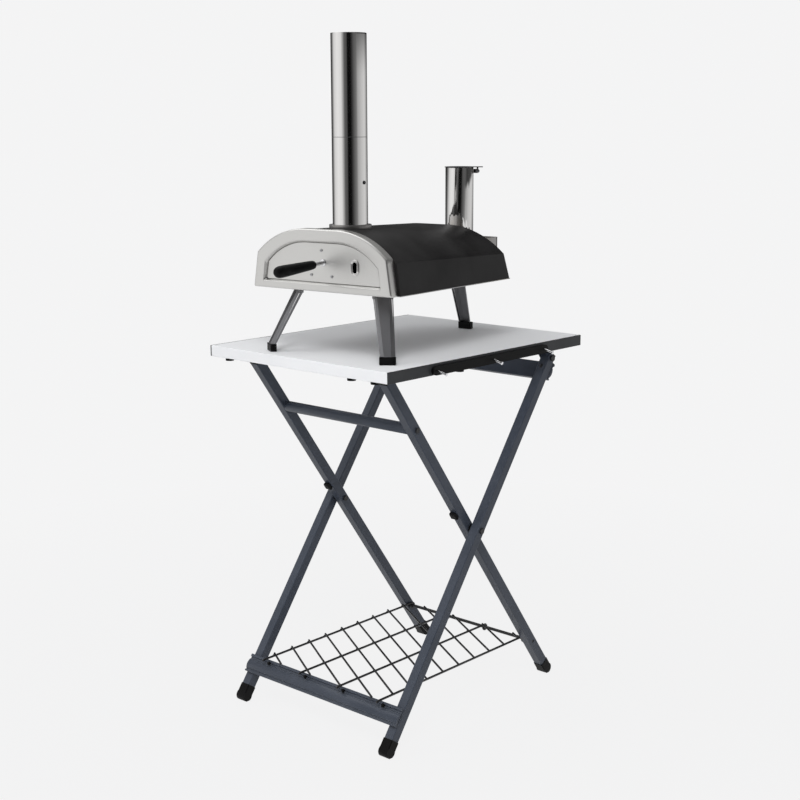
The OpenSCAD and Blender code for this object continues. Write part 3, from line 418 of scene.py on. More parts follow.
def moulded(name, colour, roughness):
    """Moulded plastic with a fine spark-eroded grain."""
    material, tree, base, tone = grained(name, roughness, grain=1500.0, mottle=30.0, bump=0.22, depth=0.0002,
                                         spread=(roughness - 0.05, roughness + 0.07), Specular_IOR_Level=0.09)
    wear = effect(tree, wear_group, Amount=0.5)
    plastic = tinted(tree, tone, colour, lighter(colour, 0.004))
    tinted(tree, wear["Edge"], plastic, lighter(colour, 0.04), base)
    return material


def brushed(name, colour, roughness, stretch, bump=0.10, shade=0.10):
    """Brushed or rolled bare metal."""
    material, tree, sockets = new_material(name, roughness, metallic=1.0)
    lines = effect(tree, brushed_group, Stretch=stretch)
    tinted(tree, lines["Shade"], darker(colour, shade), lighter(colour, shade / 3), sockets["Base Color"])
    shift = math_node(tree, "MULTIPLY", lines["Roughness Shift"], min(1, 2.5 * roughness))
    feed(tree, sockets["Roughness"], math_node(tree, "ADD", shift, roughness))
    bumped(tree, lines["Height"], bump, 0.00015, sockets["Normal"])
    return material


def heated(name, colour, roughness, tint):
    """Mill-finish sheet that heat has toned in slow patches."""
    material, tree, base, tone = grained(name, roughness, grain=300.0, mottle=7.0, bump=0.08, depth=0.0003,
                                         spread=(roughness, roughness + 0.15), metallic=1.0)
    tinted(tree, tone, colour, tint, base)
    return material


def wool(name, colour):
    """Fluffy ceramic fibre."""
    material, tree, base, tone = grained(name, 0.95, grain=260.0, mottle=40.0, bump=0.8, depth=0.002)
    tinted(tree, tone, darker(colour, 0.15), colour, base)
    return material


def fired_stone(name, colour):
    """Dry stone with pores and small dark specks."""
    material, tree, base, tone = grained(name, 0.9, grain=350.0, mottle=18.0, bump=0.5, depth=0.0008)
    specks = add(tree, "TexVoronoi", Vector=object_point(tree), Scale=220.0)
    dots = ranged(tree, specks.outputs["Distance"], 0.12, 0.25, 1.0, 0.0)
    stone = tinted(tree, tone, darker(colour, 0.2), colour)
    tinted(tree, dots, stone, darker(colour, 0.55), base)
    return material


MATERIALS = {}


def make_materials(scene):
    """Every slot's material, from the colours in the scene's settings."""
    table, oven = scene.oven_table_finish, scene.oven_finish
    along_x, up_z = (6.0, 900.0, 900.0), (900.0, 900.0, 5.0)
    zinc = (0.45, 0.455, 0.47)
    MATERIALS.update({
        "top_laminate": laminate("White Laminate", table.top),
        "edge_trim": sprayed("Charcoal Strip", table.trim, 0.42, edge=0.06, dust=0.05, sheen=0.25),
        "frame_coat": sprayed("Frame Powder Coat", table.coat, 0.34, edge=0.16, sheen=0.25),
        "black_plastic": moulded("Black Moulding", table.plastic, 0.42),
        "wire_coat": sprayed("Wire Coat", table.wire, 0.34, edge=0.04, dust=0.04),
        "zinc_fastener": brushed("Zinc Plate", zinc, 0.32, (300.0, 300.0, 300.0)),
        "black_fastener": sprayed("Black Oxide", (0.012, 0.012, 0.014), 0.35, edge=0.08, dust=0.02),
        "bright_hook": brushed("Hook Chrome", (0.78, 0.78, 0.80), 0.24, up_z, bump=0.03, shade=0.04),
        "brushed_steel": brushed("Brushed Front", oven.steel, 0.40, along_x, bump=0.06, shade=0.05),
        "polished_steel": brushed("Polished Tube", oven.tube, 0.075, up_z, bump=0.001, shade=0.06),
        "shell_black": sprayed("Heat-Proof Coat", oven.shell, 0.42, edge=0.04, bump=0.08, dust=0.02,
                               sheen=0.14),
        "sheet_steel": heated("Mill Sheet", (0.40, 0.40, 0.41), 0.36, (0.30, 0.28, 0.25)),
        "dark_steel": sprayed("Dark Steel", (0.06, 0.06, 0.064), 0.38, metallic=0.7),
        "leg_grey": sprayed("Leg Coat", oven.legs, 0.34, metallic=0.75, edge=0.25, dust=0.03),
        "ceramic_wool": wool("Ceramic Wool", (0.80, 0.78, 0.72)),
        "baking_stone": fired_stone("Fired Stone", (0.60, 0.53, 0.42)),
    })
    for material in MATERIALS.values():
        arrange(material.node_tree)


# Mesh helpers

def new_piece(name, shape, body, slot, replaces=()):
    """A mesh object that rides on a body, takes a slot's finish and may stand for CAD nodes."""
    verts, faces = shape
    mesh = bpy.data.meshes.new(name)
    mesh.from_pydata([tuple(v) for v in verts], [], faces)
    work = bmesh.new()
    work.from_mesh(mesh)
    bmesh.ops.recalc_face_normals(work, faces=work.faces)
    work.to_mesh(mesh)
    work.free()
    mesh.polygons.foreach_set("use_smooth", [True] * len(mesh.polygons))
    piece = bpy.data.objects.new(name, mesh)
    bpy.context.scene.collection.objects.link(piece)
    mesh.materials.append(MATERIALS[slot])
    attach(piece, body)
    if replaces:
        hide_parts(*replaces)
    return piece


def soften(piece, width, segments=1, angle=32):
    """Rounds a piece's edges and keeps its flat faces flat."""
    weld = piece.modifiers.new("Join", "WELD")
    weld.merge_threshold = SAME_POINT
    bevel = piece.modifiers.new("Round", "BEVEL")
    bevel.width = width
    bevel.segments = segments
    bevel.limit_method = "ANGLE"
    bevel.angle_limit = radians(angle)
    bevel.harden_normals = True


def loft(rings, closed=True):
    """Vertices and faces through rings of equally many points; closed joins the last ring to the first."""
    count = len(rings[0])
    verts = [p for ring in rings for p in ring]
    faces = []
    last = len(rings) if closed else len(rings) - 1
    for i in range(last):
        a, b = i * count, ((i + 1) % len(rings)) * count
        faces += [(a + k, a + (k + 1) % count, b + (k + 1) % count, b + k) for k in range(count)]
    return verts, faces


def capped(rings):
    """An open loft with a face over each end ring."""
    verts, faces = loft(rings, closed=False)
    count = len(rings[0])
    faces.append(tuple(range(count - 1, -1, -1)))
    faces.append(tuple(range(len(verts) - count, len(verts))))
    return verts, faces


def joined(parts):
    """Several (verts, faces) shapes as one."""
    verts, faces = [], []
    for part_verts, part_faces in parts:
        start = len(verts)
        verts += part_verts
        faces += [tuple(i + start for i in face) for face in part_faces]
    return verts, faces


def circle_ring(radius, height, count):
    """A ring of points round Z at that height."""
    return [Vector((radius * cos(2 * pi * k / count), radius * sin(2 * pi * k / count), height))
            for k in range(count)]


def hex_ring(across, height):
    """As circle_ring, but on a hexagon of that half width across its flats."""
    ring = []
    for k in range(HEAD_POINTS):
        turn = 2 * pi * k / HEAD_POINTS
        reach = across / cos((turn + pi / 6) % (pi / 3) - pi / 6)
        ring.append(Vector((reach * cos(turn), reach * sin(turn), height)))
    return ring


def moved(matrix, shape):
    """A (verts, faces) shape carried by a matrix."""
    return [matrix @ v for v in shape[0]], shape[1]


def lathe(profile, count, scale=1):
    """A closed solid turned round Z from (radius, height) pairs that start and end on the axis."""
    return capped([circle_ring(max(r * scale, 1e-5), z * scale, count) for r, z in profile])


def facing(place, axis):
    """A matrix that carries the origin to place and Z to axis."""
    turn = Vector((0, 0, 1)).rotation_difference(Vector(axis))
    return Matrix.Translation(place) @ turn.to_matrix().to_4x4()


def in_oven(points, y):
    """Points from (x, z) pairs in millimetres, at the depth y in the oven's own frame."""
    return [OVEN @ Vector((x * MM, y * MM, z * MM)) for x, z in points]


def arch_ring(outline, inset, y, corner):
    """Points round an arch outline, drawn in by inset, with its two lower corners rounded."""
    half, foot = outline["half"] - inset, outline["low"] + inset + corner
    shoulder, radius = outline["shoulder"] - inset, outline["radius"] - inset
    shoulder_z = outline["arc_z"] + sqrt(radius ** 2 - (shoulder - outline["arc_x"]) ** 2)
    shares = [k / ARCH_STEPS for k in range(ARCH_STEPS + 1)]
    turns = [pi / 2 * (share - 1) for share in shares]
    right = [(half - corner + corner * cos(turn), foot + corner * sin(turn)) for turn in turns]
    right += [(half + (shoulder - half) * share, foot + (shoulder_z - foot) * share)
              for share in shares[1:-1]]
    start = atan2(shoulder_z - outline["arc_z"], shoulder - outline["arc_x"])
    for k in range(3 * ARCH_STEPS + 1):
        turn = start + (pi / 2 - start) * k / (3 * ARCH_STEPS)
        right.append((outline["arc_x"] + radius * cos(turn), outline["arc_z"] + radius * sin(turn)))
    return in_oven(right + [(-x, z) for x, z in reversed(right)], y)


def arch_rings(outline, corner, profile):
    """Arch outlines from (inset, depth) pairs."""
    return [arch_ring(outline, inset, y, corner) for inset, y in profile]


def rolled_edge(outline, corner, rounding, face):
    """Arch outlines that roll over an outer edge to the face at that depth."""
    turns = [pi / 2 * k / EDGE_STEPS for k in range(EDGE_STEPS + 1)]
    return arch_rings(outline, corner, [(rounding * (1 - cos(turn)), face + rounding * (1 - sin(turn)))
                                        for turn in turns])


def slot_ring(width, height, y):
    """Points round the peephole's upright slot."""
    radius, half = width / 2, (height - width) / 2
    ring = []
    for start, middle in ((0, PEEP["z"] + half), (pi, PEEP["z"] - half)):
        for k in range(SLOT_STEPS + 1):
            turn = start + pi * k / SLOT_STEPS
            ring.append((PEEP["x"] + radius * cos(turn), middle + radius * sin(turn)))
    return in_oven(ring, y)


def islands(node):
    """The separate solids of a CAD node, each as an array of its points."""
    shape = bmesh.new()
    shape.from_mesh(NODES[node].data)
    bmesh.ops.remove_doubles(shape, verts=shape.verts, dist=SAME_POINT)
    shape.verts.ensure_lookup_table()
    seen, found = set(), []
    for vert in shape.verts:
        if vert.index in seen:
            continue
        seen.add(vert.index)
        stack, group = [vert], []
        while stack:
            here = stack.pop()
            group.append(here.co[:])
            for edge in here.link_edges:
                other = edge.other_vert(here)
                if other.index not in seen:
                    seen.add(other.index)
                    stack.append(other)
        found.append(np.array(group))
    shape.free()
    return found


def ends_along(points, axis):
    """Middle, lowest and highest reach of points along an axis, and their largest distance from it."""
    axis = np.array(axis, float)
    axis /= np.linalg.norm(axis)
    centre = (points.min(0) + points.max(0)) / 2
    reach = (points - centre) @ axis
    off = points - centre - np.outer(reach, axis)
    return Vector(centre), float(reach.min()), float(reach.max()), float(np.linalg.norm(off, axis=1).max())


def dome_head(radius, height):
    """A low domed screw head on Z = 0 with a hexagon socket."""
    dome = [(1, 0), (1, 0.35), (0.96, 0.55), (0.85, 0.8), (0.68, 0.96), (0.52, 1)]
    socket = radius * 0.42
    rings = [circle_ring(radius * r, height * z, HEAD_POINTS) for r, z in dome]
    return capped(rings + [hex_ring(socket, height), hex_ring(socket * 0.94, height / 2)])


def hex_head(radius, height):
    """A hexagon bolt head on Z = 0 with a chamfered, slightly domed top."""
    across = radius * 0.88
    return capped([hex_ring(across, 0), hex_ring(across, height * 0.82),
                   circle_ring(across * 0.94, height, HEAD_POINTS),
                   circle_ring(across * 0.5, height * 0.97, HEAD_POINTS)])


# Pieces that take the place of plain CAD solids

def build_front_bezel(sizes):
    """Pressed front plate: rounded rim, flat face, a mouth that slopes back to the door, and its return."""
    rounding = sizes.plate_round / MM
    wide = MOUTH_GAP + MOUTH_LIP
    rim = [(0, BEZEL_DEPTH), (0, BEZEL_DEPTH - 4), (0, rounding + 3)]
    slope = [(-wide - 2.4, 0), (-wide - 1.2, 0.15), (-wide, 0.6), (-wide + 0.7, 1.3),
             (-MOUTH_GAP - 1.1, DOOR_RECESS - 2.2), (-MOUTH_GAP - 0.35, DOOR_RECESS - 1),
             (-MOUTH_GAP, DOOR_RECESS + 0.6), (-MOUTH_GAP, MOUTH_BACK), (-MOUTH_GAP - SHEET, MOUTH_BACK),
             (-MOUTH_GAP - SHEET, DOOR_RECESS + 1), (-wide - SHEET, SHEET)]
    inside = [(rounding, SHEET), (SHEET, rounding), (SHEET, BEZEL_DEPTH)]
    rings = arch_rings(BEZEL, BEZEL_CORNER, rim) + rolled_edge(BEZEL, BEZEL_CORNER, rounding, 0)
    rings += arch_rings(MOUTH, BEZEL_CORNER, slope) + arch_rings(BEZEL, BEZEL_CORNER, inside)
    piece = new_piece("pressed_front_plate", loft(rings), "oven", "brushed_steel", ("front_bezel",))
    soften(piece, 0.0003, angle=50)


def filled_between(verts, outer, outer_count, inner, inner_count):
    """Flat triangles between an outer ring and a hole's ring, given by where they start in verts."""
    shape = bmesh.new()
    where = {}
    edges = []
    for start, count in ((outer, outer_count), (inner, inner_count)):
        ring = []
        for k in range(count):
            vert = shape.verts.new(verts[start + k])
            where[vert] = start + k
            ring.append(vert)
        edges += [shape.edges.new((ring[k], ring[(k + 1) % count])) for k in range(count)]
    bmesh.ops.triangle_fill(shape, edges=edges, use_beauty=True, use_dissolve=False)
    faces = [tuple(where[v] for v in face.verts) for face in shape.faces]
    shape.free()
    return faces


def build_oven_door():
    """Door pressed from one sheet: rounded edge, skirt, and the peephole's slot."""
    rounding, front, back = DOOR_ROUNDING, DOOR_RECESS, DOOR_RECESS + DOOR_SHEET
    skirt = [(DOOR_SHEET, front + DOOR_SKIRT), (0, front + DOOR_SKIRT), (0, front + rounding + 1)]
    face = [(rounding + 1.5, front), (rounding + 9, front)]
    inside = [(rounding + 9, back), (rounding + 1, back), (DOOR_SHEET, front + rounding)]
    rings = arch_rings(MOUTH, DOOR_CORNER, skirt) + rolled_edge(MOUTH, DOOR_CORNER, rounding, front)
    rings += arch_rings(MOUTH, DOOR_CORNER, face)
    count = len(rings[0])
    first = (len(rings) - 1) * count
    verts, faces = loft(rings + arch_rings(MOUTH, DOOR_CORNER, inside))
    # The slot's wall joins the door's two flat faces, so the faces between their rings are left out
    faces = [f for f in faces if not (min(f) >= first and max(f) < first + 2 * count
                                      and min(f) < first + count <= max(f))]
    slot_w, slot_h = PEEP["w"] - 2 * PEEP["rim"], PEEP["h"] - 2 * PEEP["rim"]
    start = len(verts)
    verts += slot_ring(slot_w, slot_h, front) + slot_ring(slot_w, slot_h, back)
    small = (len(verts) - start) // 2
    faces += [(start + k, start + (k + 1) % small, start + small + (k + 1) % small, start + small + k)
              for k in range(small)]
    faces += filled_between(verts, first, count, start, small)
    faces += filled_between(verts, first + count, count, start + small, small)
    piece = new_piece("pressed_door", (verts, faces), "door", "brushed_steel", ("door_panel",))
    soften(piece, 0.0002, angle=50)


def build_peephole_rim():
    """Pressed eyelet of the peephole: rolled outer edge, groove, and a lip that goes through the door."""
    profile = [(0, -0.3), (0, 0.8), (0.25, 1.7), (0.8, 2.3), (1.5, 2.4), (2.1, 2.0), (2.5, 1.2), (2.8, 0.4),
               (3.4, 0.3), (3.8, 0.9), (4.2, 1.7), (4.8, 1.9), (5.3, 1.4), (5.5, 0.4), (5.5, -3), (4.6, -3),
               (4.5, -0.3)]
    rings = [slot_ring(PEEP["w"] - 2 * inward, PEEP["h"] - 2 * inward, DOOR_RECESS - proud)
             for inward, proud in profile]
    new_piece("pressed_eyelet", loft(rings), "door", "polished_steel", ("peephole_rim",))


def handle_matrix():
    """Z runs forward along the handle from the door's face."""
    place = Vector((HANDLE["x"], DOOR_RECESS, HANDLE["z"])) * MM
    return OVEN @ Matrix.Translation(place) @ Matrix.Rotation(pi / 2 + radians(HANDLE["droop"]), 4, "X")


def build_door_grip():
    """Round grip, a little slimmer at the neck, with a soft end, and its bright stud with a collar."""
    start, length, radius = HANDLE["neck"], HANDLE["length"], HANDLE["radius"]
    shares = [(0.0, 0.0), (0.52, 0.0), (0.64, 0.008), (0.72, 0.03), (0.765, 0.08), (0.81, 0.2),
              (0.88, 0.42), (0.955, 0.65), (1.0, 0.80), (1.0, 0.87), (0.96, 0.92), (0.86, 0.955),
              (0.68, 0.98), (0.42, 0.995), (0.0, 1.0)]
    profile = [(r * radius, start + t * length) for r, t in shares]
    piece = new_piece("shaped_grip", moved(handle_matrix(), lathe(profile, 48, MM)), "door", "black_plastic",
                      ("door_grip",))
    smooth = piece.modifiers.new("Smooth", "SUBSURF")
    smooth.levels = smooth.render_levels = 1
    stud = [(0, -1), (8.4, -1), (8.4, 1.2), (7.8, 2.2), (6.6, 2.6), (5.6, 3), (5.0, 4), (4.6, 6), (4.6, 28),
            (5.4, 30), (6.3, 31.5), (6.5, 33), (6.5, start), (0, start)]
    piece = new_piece("turned_stud", moved(handle_matrix(), lathe(stud, 40, MM)), "door", "bright_hook",
                      ("handle_stud",))
    soften(piece, 0.0002, angle=40)


def chimney_wall(profile):
    """A closed wall round the chimney's axis from (radius, height) pairs in millimetres."""
    axis = Vector((0, CHIMNEY["y"], 0))
    return loft([[OVEN @ ((point + axis) * MM) for point in circle_ring(r, z, CHIMNEY_POINTS)]
                 for r, z in profile])


def build_chimney():
    """The chimney's two lengths, the lower one with the upper one's spigot, and a dark ring between them, painted
    shade of the joint.
    """
    outer, wall, roll = CHIMNEY["radius"], CHIMNEY["wall"], CHIMNEY["roll"]
    inner, foot, seam, top = outer - wall, CHIMNEY["foot"], CHIMNEY["seam"], CHIMNEY["top"]
    spigot, sleeve = CHIMNEY["spigot"], inner - 0.1
    upper = [(inner, seam), (outer, seam), (outer, seam + roll), (outer, seam + 3), (outer, top - 3),
             (outer, top - roll), (outer - roll / 2, top), (inner + roll / 2, top), (inner, top - roll),
             (inner, top - 3), (inner, seam + 3)]
    lower = [(inner, foot), (outer, foot), (outer, foot + 3), (outer, seam - 3), (outer, seam - roll),
             (outer, seam), (sleeve, seam), (sleeve, seam + spigot), (inner - wall, seam + spigot),
             (inner - wall, seam - spigot), (inner, seam - spigot)]
    for name, node, profile in (("rolled_chimney_top", "chimney_upper", upper),
                                ("rolled_chimney_foot", "chimney_lower", lower)):
        piece = new_piece(name, chimney_wall(profile), "chimney", "polished_steel", (node,))
        soften(piece, 0.00012, angle=40)
    # A thin dark ring at the joint: painted shade of the groove between the two lengths
    proud = outer + 0.06
    line = [(outer - roll, seam - roll), (proud, seam - roll), (proud, seam + roll),
            (outer - roll, seam + roll)]
    new_piece("soot_line_at_joint", chimney_wall(line), "chimney", "dark_steel")


def build_tool_hooks():
    """Chrome pegs that droop a little, thicker towards a small upright disc at the tip."""
    droop = radians(HOOK["droop"])
    out = Vector((cos(droop), 0, -sin(droop)))
    parts = []
    for points in islands("tool_hooks"):
        _, low, high, _ = ends_along(points, out)
        middle = points.mean(0)
        reach = (points - middle) @ np.array(out)
        tip = Vector(points[reach > reach.max() - HOOK["disc"] * MM].mean(0))
        tip += out * (float(reach.max()) - float((np.array(tip) - middle) @ np.array(out)))
        length = (high - low) / MM
        peg = [(0, -length), (2.1, -length), (2.2, -length * 0.75), (2.4, -length * 0.4), (2.6, -3.4),
               (2.8, -2.6), (3.6, -2.0), (3.9, -1.4), (3.9, -0.7), (3.4, -0.2), (0, -0.1)]
        parts.append(moved(facing(tip, out), lathe(peg, 28, MM)))
    piece = new_piece("turned_hooks", joined(parts), "tabletop", "bright_hook", ("tool_hooks",))
    soften(piece, 0.0002, angle=40)


def build_shelf_welds(sizes):
    """A small bead of weld wherever a cross wire lies on a long wire."""
    long_xs = [float(points.mean(0)[0]) for points in islands("shelf_long_wires")]
    wide, high, raised = sizes.weld_radius * 1.25, sizes.weld_radius * 0.7, 0.0004
    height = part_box("shelf_cross_wires")[0].z + raised
    profile = [(0, -0.6), (0.7, -0.5), (1.0, 0), (0.75, 0.45), (0, 0.6)]
    bead = lathe([(r * wide, z * high) for r, z in profile], 10)
    parts = []
    for points in islands("shelf_cross_wires"):
        left, right = points[np.argmin(points[:, 0])], points[np.argmax(points[:, 0])]
        slope = (right[1] - left[1]) / (right[0] - left[0])
        for x in long_xs:
            if left[0] <= x <= right[0]:
                place = Vector((x, left[1] + slope * (x - left[0]), height))
                parts.append(moved(Matrix.Translation(place), bead))
    new_piece("shelf_weld_beads", joined(parts), "shelf", "wire_coat")


def build_painted_wire_shadows():
    """Small black nubs in the front rail's trough, beside each long wire's end: painted shadows of the wire tips.
    """
    beside, sunk, lean = 0.012, 0.004, (0, -0.81, 0.58)
    profile = [(0, 0), (4.5, 0), (4.5, 3), (3.6, 4.6), (0, 5.2)]
    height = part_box("front_foot_rail")[1].z - sunk
    parts = []
    for points in islands("shelf_long_wires"):
        place = Vector((float(points.mean(0)[0]) + beside, float(points[:, 1].min()) + beside, height))
        parts.append(moved(facing(place, lean), lathe(profile, 16, MM)))
    # Black nubs: painted shadows of the wire tips in the trough
    new_piece("wire_rest_nubs", joined(parts), "outer_frame", "black_plastic")


def screw_head(centre, out, base, radius, height):
    """A domed head that faces along out and stands at the reach base from centre."""
    return moved(facing(centre + out * base, out), dome_head(radius, height))


def shank(centre, axis, low, high, radius):
    """A plain round shank between two reaches along axis."""
    return moved(facing(centre, axis), lathe([(0, low), (radius, low), (radius, high), (0, high)], 24))


def leg_normal():
    """The direction that faces rearwards and down from an outer leg's back face."""
    foot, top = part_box("outer_foot_caps"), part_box("outer_top_caps")
    along_leg = Vector((0, (top[0].y + top[1].y - foot[0].y - foot[1].y) / 2,
                        (top[0].z + top[1].z - foot[0].z - foot[1].z) / 2)).normalized()
    return Vector((1, 0, 0)).cross(along_leg).normalized() * -1


def build_fasteners():
    """Socket screws and hexagon bolts with their real head forms."""
    heads = {"rail_screws": [], "door_screws": [], "chimney_screw": []}
    lean, forward = leg_normal(), Vector(joint("door_slide")["axis"])
    right = OVEN.to_3x3() @ Vector((1, 0, 0))
    for points in islands("rail_screws"):
        centre, low, high, radius = ends_along(points, lean)
        out = lean if centre.z < joint("fold")["pos_m"][2] else -lean
        heads["rail_screws"].append(screw_head(centre, out, (low - high) / 2, radius, high - low))
    for points in islands("door_screws"):
        centre, low, high, radius = ends_along(points, forward)
        heads["door_screws"].append(screw_head(centre, forward, low, radius, high - low))
    for points in islands("chimney_screw"):
        centre, low, high, radius = ends_along(points, right)
        base = high - CHIMNEY["screw_head"] * MM
        heads["chimney_screw"] += [screw_head(centre, right, base, radius, high - base),
                                   shank(centre, right, low, base, radius * 0.6)]
    for node, parts in heads.items():
        finish_heads(node, parts)
    for node, sizes in BOLTS.items():
        build_bolts(node, *(size * MM for size in sizes))


def build_bolts(node, head_radius, head_height, shank_radius):
    """Hexagon bolts that point along X, heads on the outer side of the table."""
    low_corner, high_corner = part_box("tabletop_panel")
    parts = []
    for points in islands(node):
        out = Vector((1 if points[:, 0].mean() > (low_corner.x + high_corner.x) / 2 else -1, 0, 0))
        centre, low, high, _ = ends_along(points, out)
        base = high - head_height
        parts += [moved(facing(centre + out * base, out), hex_head(head_radius, head_height)),
                  shank(centre, out, low, base, shank_radius)]
    finish_heads(node, parts)


def finish_heads(node, parts):
    """Joins shaped heads into the piece that stands for a node of fasteners."""
    piece = new_piece("shaped_" + node, joined(parts), BODY_OF[node], SLOT_OF[node], (node,))
    soften(piece, 0.00015, angle=30)


def dress_cad_nodes(sizes):
    """Gives every CAD node its slot's material, and softens the edges of those that stay shown."""
    for name, node in NODES.items():
        node.data.materials.clear()
        node.data.materials.append(MATERIALS[SLOT_OF[name]])
        if not node.hide_render:
            width = EDGE_WIDTHS.get(name, sizes.edge_round)
            soften(node, width, 4 if width > LARGE_ROUNDING else 2)


# The studio

def studio_object(name, verts, faces, finish):
    """A mesh of the studio with an emptied material, and that material's node tree."""
    mesh = bpy.data.meshes.new(name)
    mesh.from_pydata(verts, [], faces)
    thing = bpy.data.objects.new(name, mesh)
    bpy.context.scene.collection.objects.link(thing)
    material = bpy.data.materials.new(finish)
    material.use_nodes = True
    material.node_tree.nodes.clear()
    mesh.materials.append(material)
    return thing, material.node_tree


def seen_by_eye(tree):
    """One for rays from the camera and for those mirrored or let through, and nought for scattered light."""
    path = add(tree, "LightPath").outputs
    mirrored = math_node(tree, "MAXIMUM", path["Is Glossy Ray"], path["Is Transmission Ray"])
    return math_node(tree, "MAXIMUM", path["Is Camera Ray"], mirrored)


def end_by_eye(tree, output, share, lighting, seen):
    """Ends a tree with one shader for the light that is cast and, by share, another for what is seen."""
    mix = add(tree, "MixShader")
    for socket, value in zip(mix.inputs, (share, lighting.outputs[0], seen.outputs[0])):
        feed(tree, socket, value)
    add(tree, output, Surface=mix.outputs[0])
    arrange(tree)


def distance_out(tree):
    """How far the surface point is from the object's own middle."""
    return worked(tree, "VectorMath", "LENGTH", object_point(tree))["Value"]


def build_floor(settings):
    """A pale floor that keeps the object's shadow."""
    half = settings.floor_size / 2
    corners = [(-half, -half, 0), (half, -half, 0), (half, half, 0), (-half, half, 0)]
    _, tree = studio_object("studio_floor", corners, [(0, 1, 2, 3)], "Studio Floor")
    matte = add(tree, "BsdfDiffuse", Color=(*darker(settings.backdrop, 0.25), 1))
    glow = add(tree, "Emission", Color=(*settings.backdrop, 1), Strength=1.0)
    share = ranged(tree, distance_out(tree), 0.4, 2.2, 0.95, 1.0)
    eye = math_node(tree, "MULTIPLY", seen_by_eye(tree), share)
    end_by_eye(tree, "OutputMaterial", eye, matte, glow)


# The side that most of the even light comes from: low, at the front left
LIGHT_SIDE = (-0.30, -0.30, -0.75)


def build_world(settings):
    """A pale surround: its seen colour is the backdrop's, and its light is stronger from one side."""
    world = bpy.data.worlds.new("Studio World")
    bpy.context.scene.world = world
    world.use_nodes = True
    tree = world.node_tree
    tree.nodes.clear()
    direction = add(tree, "TexCoord").outputs["Generated"]
    side = worked(tree, "VectorMath", "DOT_PRODUCT", direction, LIGHT_SIDE)["Value"]
    share = ranged(tree, side, -0.75, 0.45, 0.34, 1.5)
    strength = math_node(tree, "MULTIPLY", share, settings.ambient)
    lit = add(tree, "Background", Color=(1, 1, 1, 1), Strength=strength)
    seen = add(tree, "Background", Color=(*settings.backdrop, 1), Strength=1.0)
    end_by_eye(tree, "OutputWorld", seen_by_eye(tree), lit, seen)


# What the lamps look at, and each lamp's place, side and power setting, in metres
LAMP_TARGET = (0, 0, 0.9)
LAMPS = {"Key": ((-2.6, -3.8, 1.8), 2.6, "key_power"), "Front": ((1.9, -2.4, 3.6), 1.6, "front_power"),
         "Top": ((-1.5, -1.7, 3.7), 1.8, "fill_power")}


def area_light(name, place, size, power):
    """A large square lamp that looks at the target and that metal doesn't mirror."""
    lamp = bpy.data.lights.new(name, "AREA")
    lamp.shape = "SQUARE"
    lamp.size = size
    lamp.energy = power
    holder = bpy.data.objects.new(name, lamp)
    bpy.context.scene.collection.objects.link(holder)
    holder.location = place
    holder.visible_glossy = False
    holder.rotation_euler = (Vector(LAMP_TARGET) - Vector(place)).to_track_quat("-Z", "Y").to_euler()


# Brightness that bright metal mirrors, by angle in degrees from the camera's side, to the right
MIRRORED = ((-180, 0.03), (-140, 0.04), (-122, 0.30), (-106, 0.84), (-75, 1.04), (-50, 0.92), (-42, 0.62),
            (-28, 0.14), (-14, 0.09), (-8, 0.004), (10, 0.006), (20, 0.05), (46, 0.24), (56, 0.50),
            (84, 0.70), (113, 0.82), (142, 0.34), (160, 0.08))

# The drum and the card that metal mirrors, in metres
DRUM = {"steps": 72, "radius": 3.6, "low": -0.4, "high": 3.3}
CARD = {"steps": 48, "radius": 5.4, "place": (-1.5, -0.4, 3.3)}


def only_mirrored(thing, tree, colour, strength):
    """Makes a studio object glow for mirrored rays and hides it from all others."""
    glow = add(tree, "Emission", Color=colour, Strength=strength)
    add(tree, "OutputMaterial", Surface=glow.outputs[0])
    arrange(tree)
    thing.visible_camera = thing.visible_diffuse = thing.visible_shadow = thing.visible_transmission = False


def build_surround():
    """An upright open drum with soft bright and dark bands, dimmed high up on its right."""
    steps = DRUM["steps"]
    verts = [tuple(p) for z in (DRUM["low"], DRUM["high"]) for p in circle_ring(DRUM["radius"], z, steps)]
    faces = [(k, (k + 1) % steps, steps + (k + 1) % steps, steps + k) for k in range(steps)]
    drum, tree = studio_object("band_surround", verts, faces, "Band Surround")
    drum.rotation_euler.z = radians(CAMERA_AZIMUTH)
    place = add(tree, "SeparateXYZ", Vector=object_point(tree)).outputs
    front = math_node(tree, "MULTIPLY", place["Y"], -1.0)
    angle = math_node(tree, "ARCTAN2", place["X"], front)
    turn = ranged(tree, angle, -pi, pi, 0.0, 1.0)
    bands = add(tree, "ValToRGB", Fac=turn)
    ramp = bands.color_ramp.elements
    for i, (degrees_right, bright) in enumerate(MIRRORED):
        share = (degrees_right + 180) / 360
        element = ramp[i] if i < 2 else ramp.new(share)
        element.position = share
        element.color = (bright, bright, bright, 1)
    on_right = ranged(tree, angle, 0.5, 1.0, 0.0, 1.0)
    raised = ranged(tree, place["Z"], 1.65, 1.9, 0.0, 1.0)
    both = math_node(tree, "MULTIPLY", on_right, raised)
    only_mirrored(drum, tree, bands.outputs[0], ranged(tree, both, 0.0, 1.0, 1.0, 0.10))


def build_ceiling_card():
    """A round card overhead, bright in its middle, that lights the edges that face up."""
    steps = CARD["steps"]
    verts = [tuple(p) for p in circle_ring(CARD["radius"], 0, steps)]
    card, tree = studio_object("ceiling_card", verts, [tuple(range(steps))], "Ceiling Card")
    card.location = CARD["place"]
    bright = ranged(tree, distance_out(tree), 1.3, 2.4, 1.9, 0.25)
    only_mirrored(card, tree, (1, 1, 1, 1), bright)


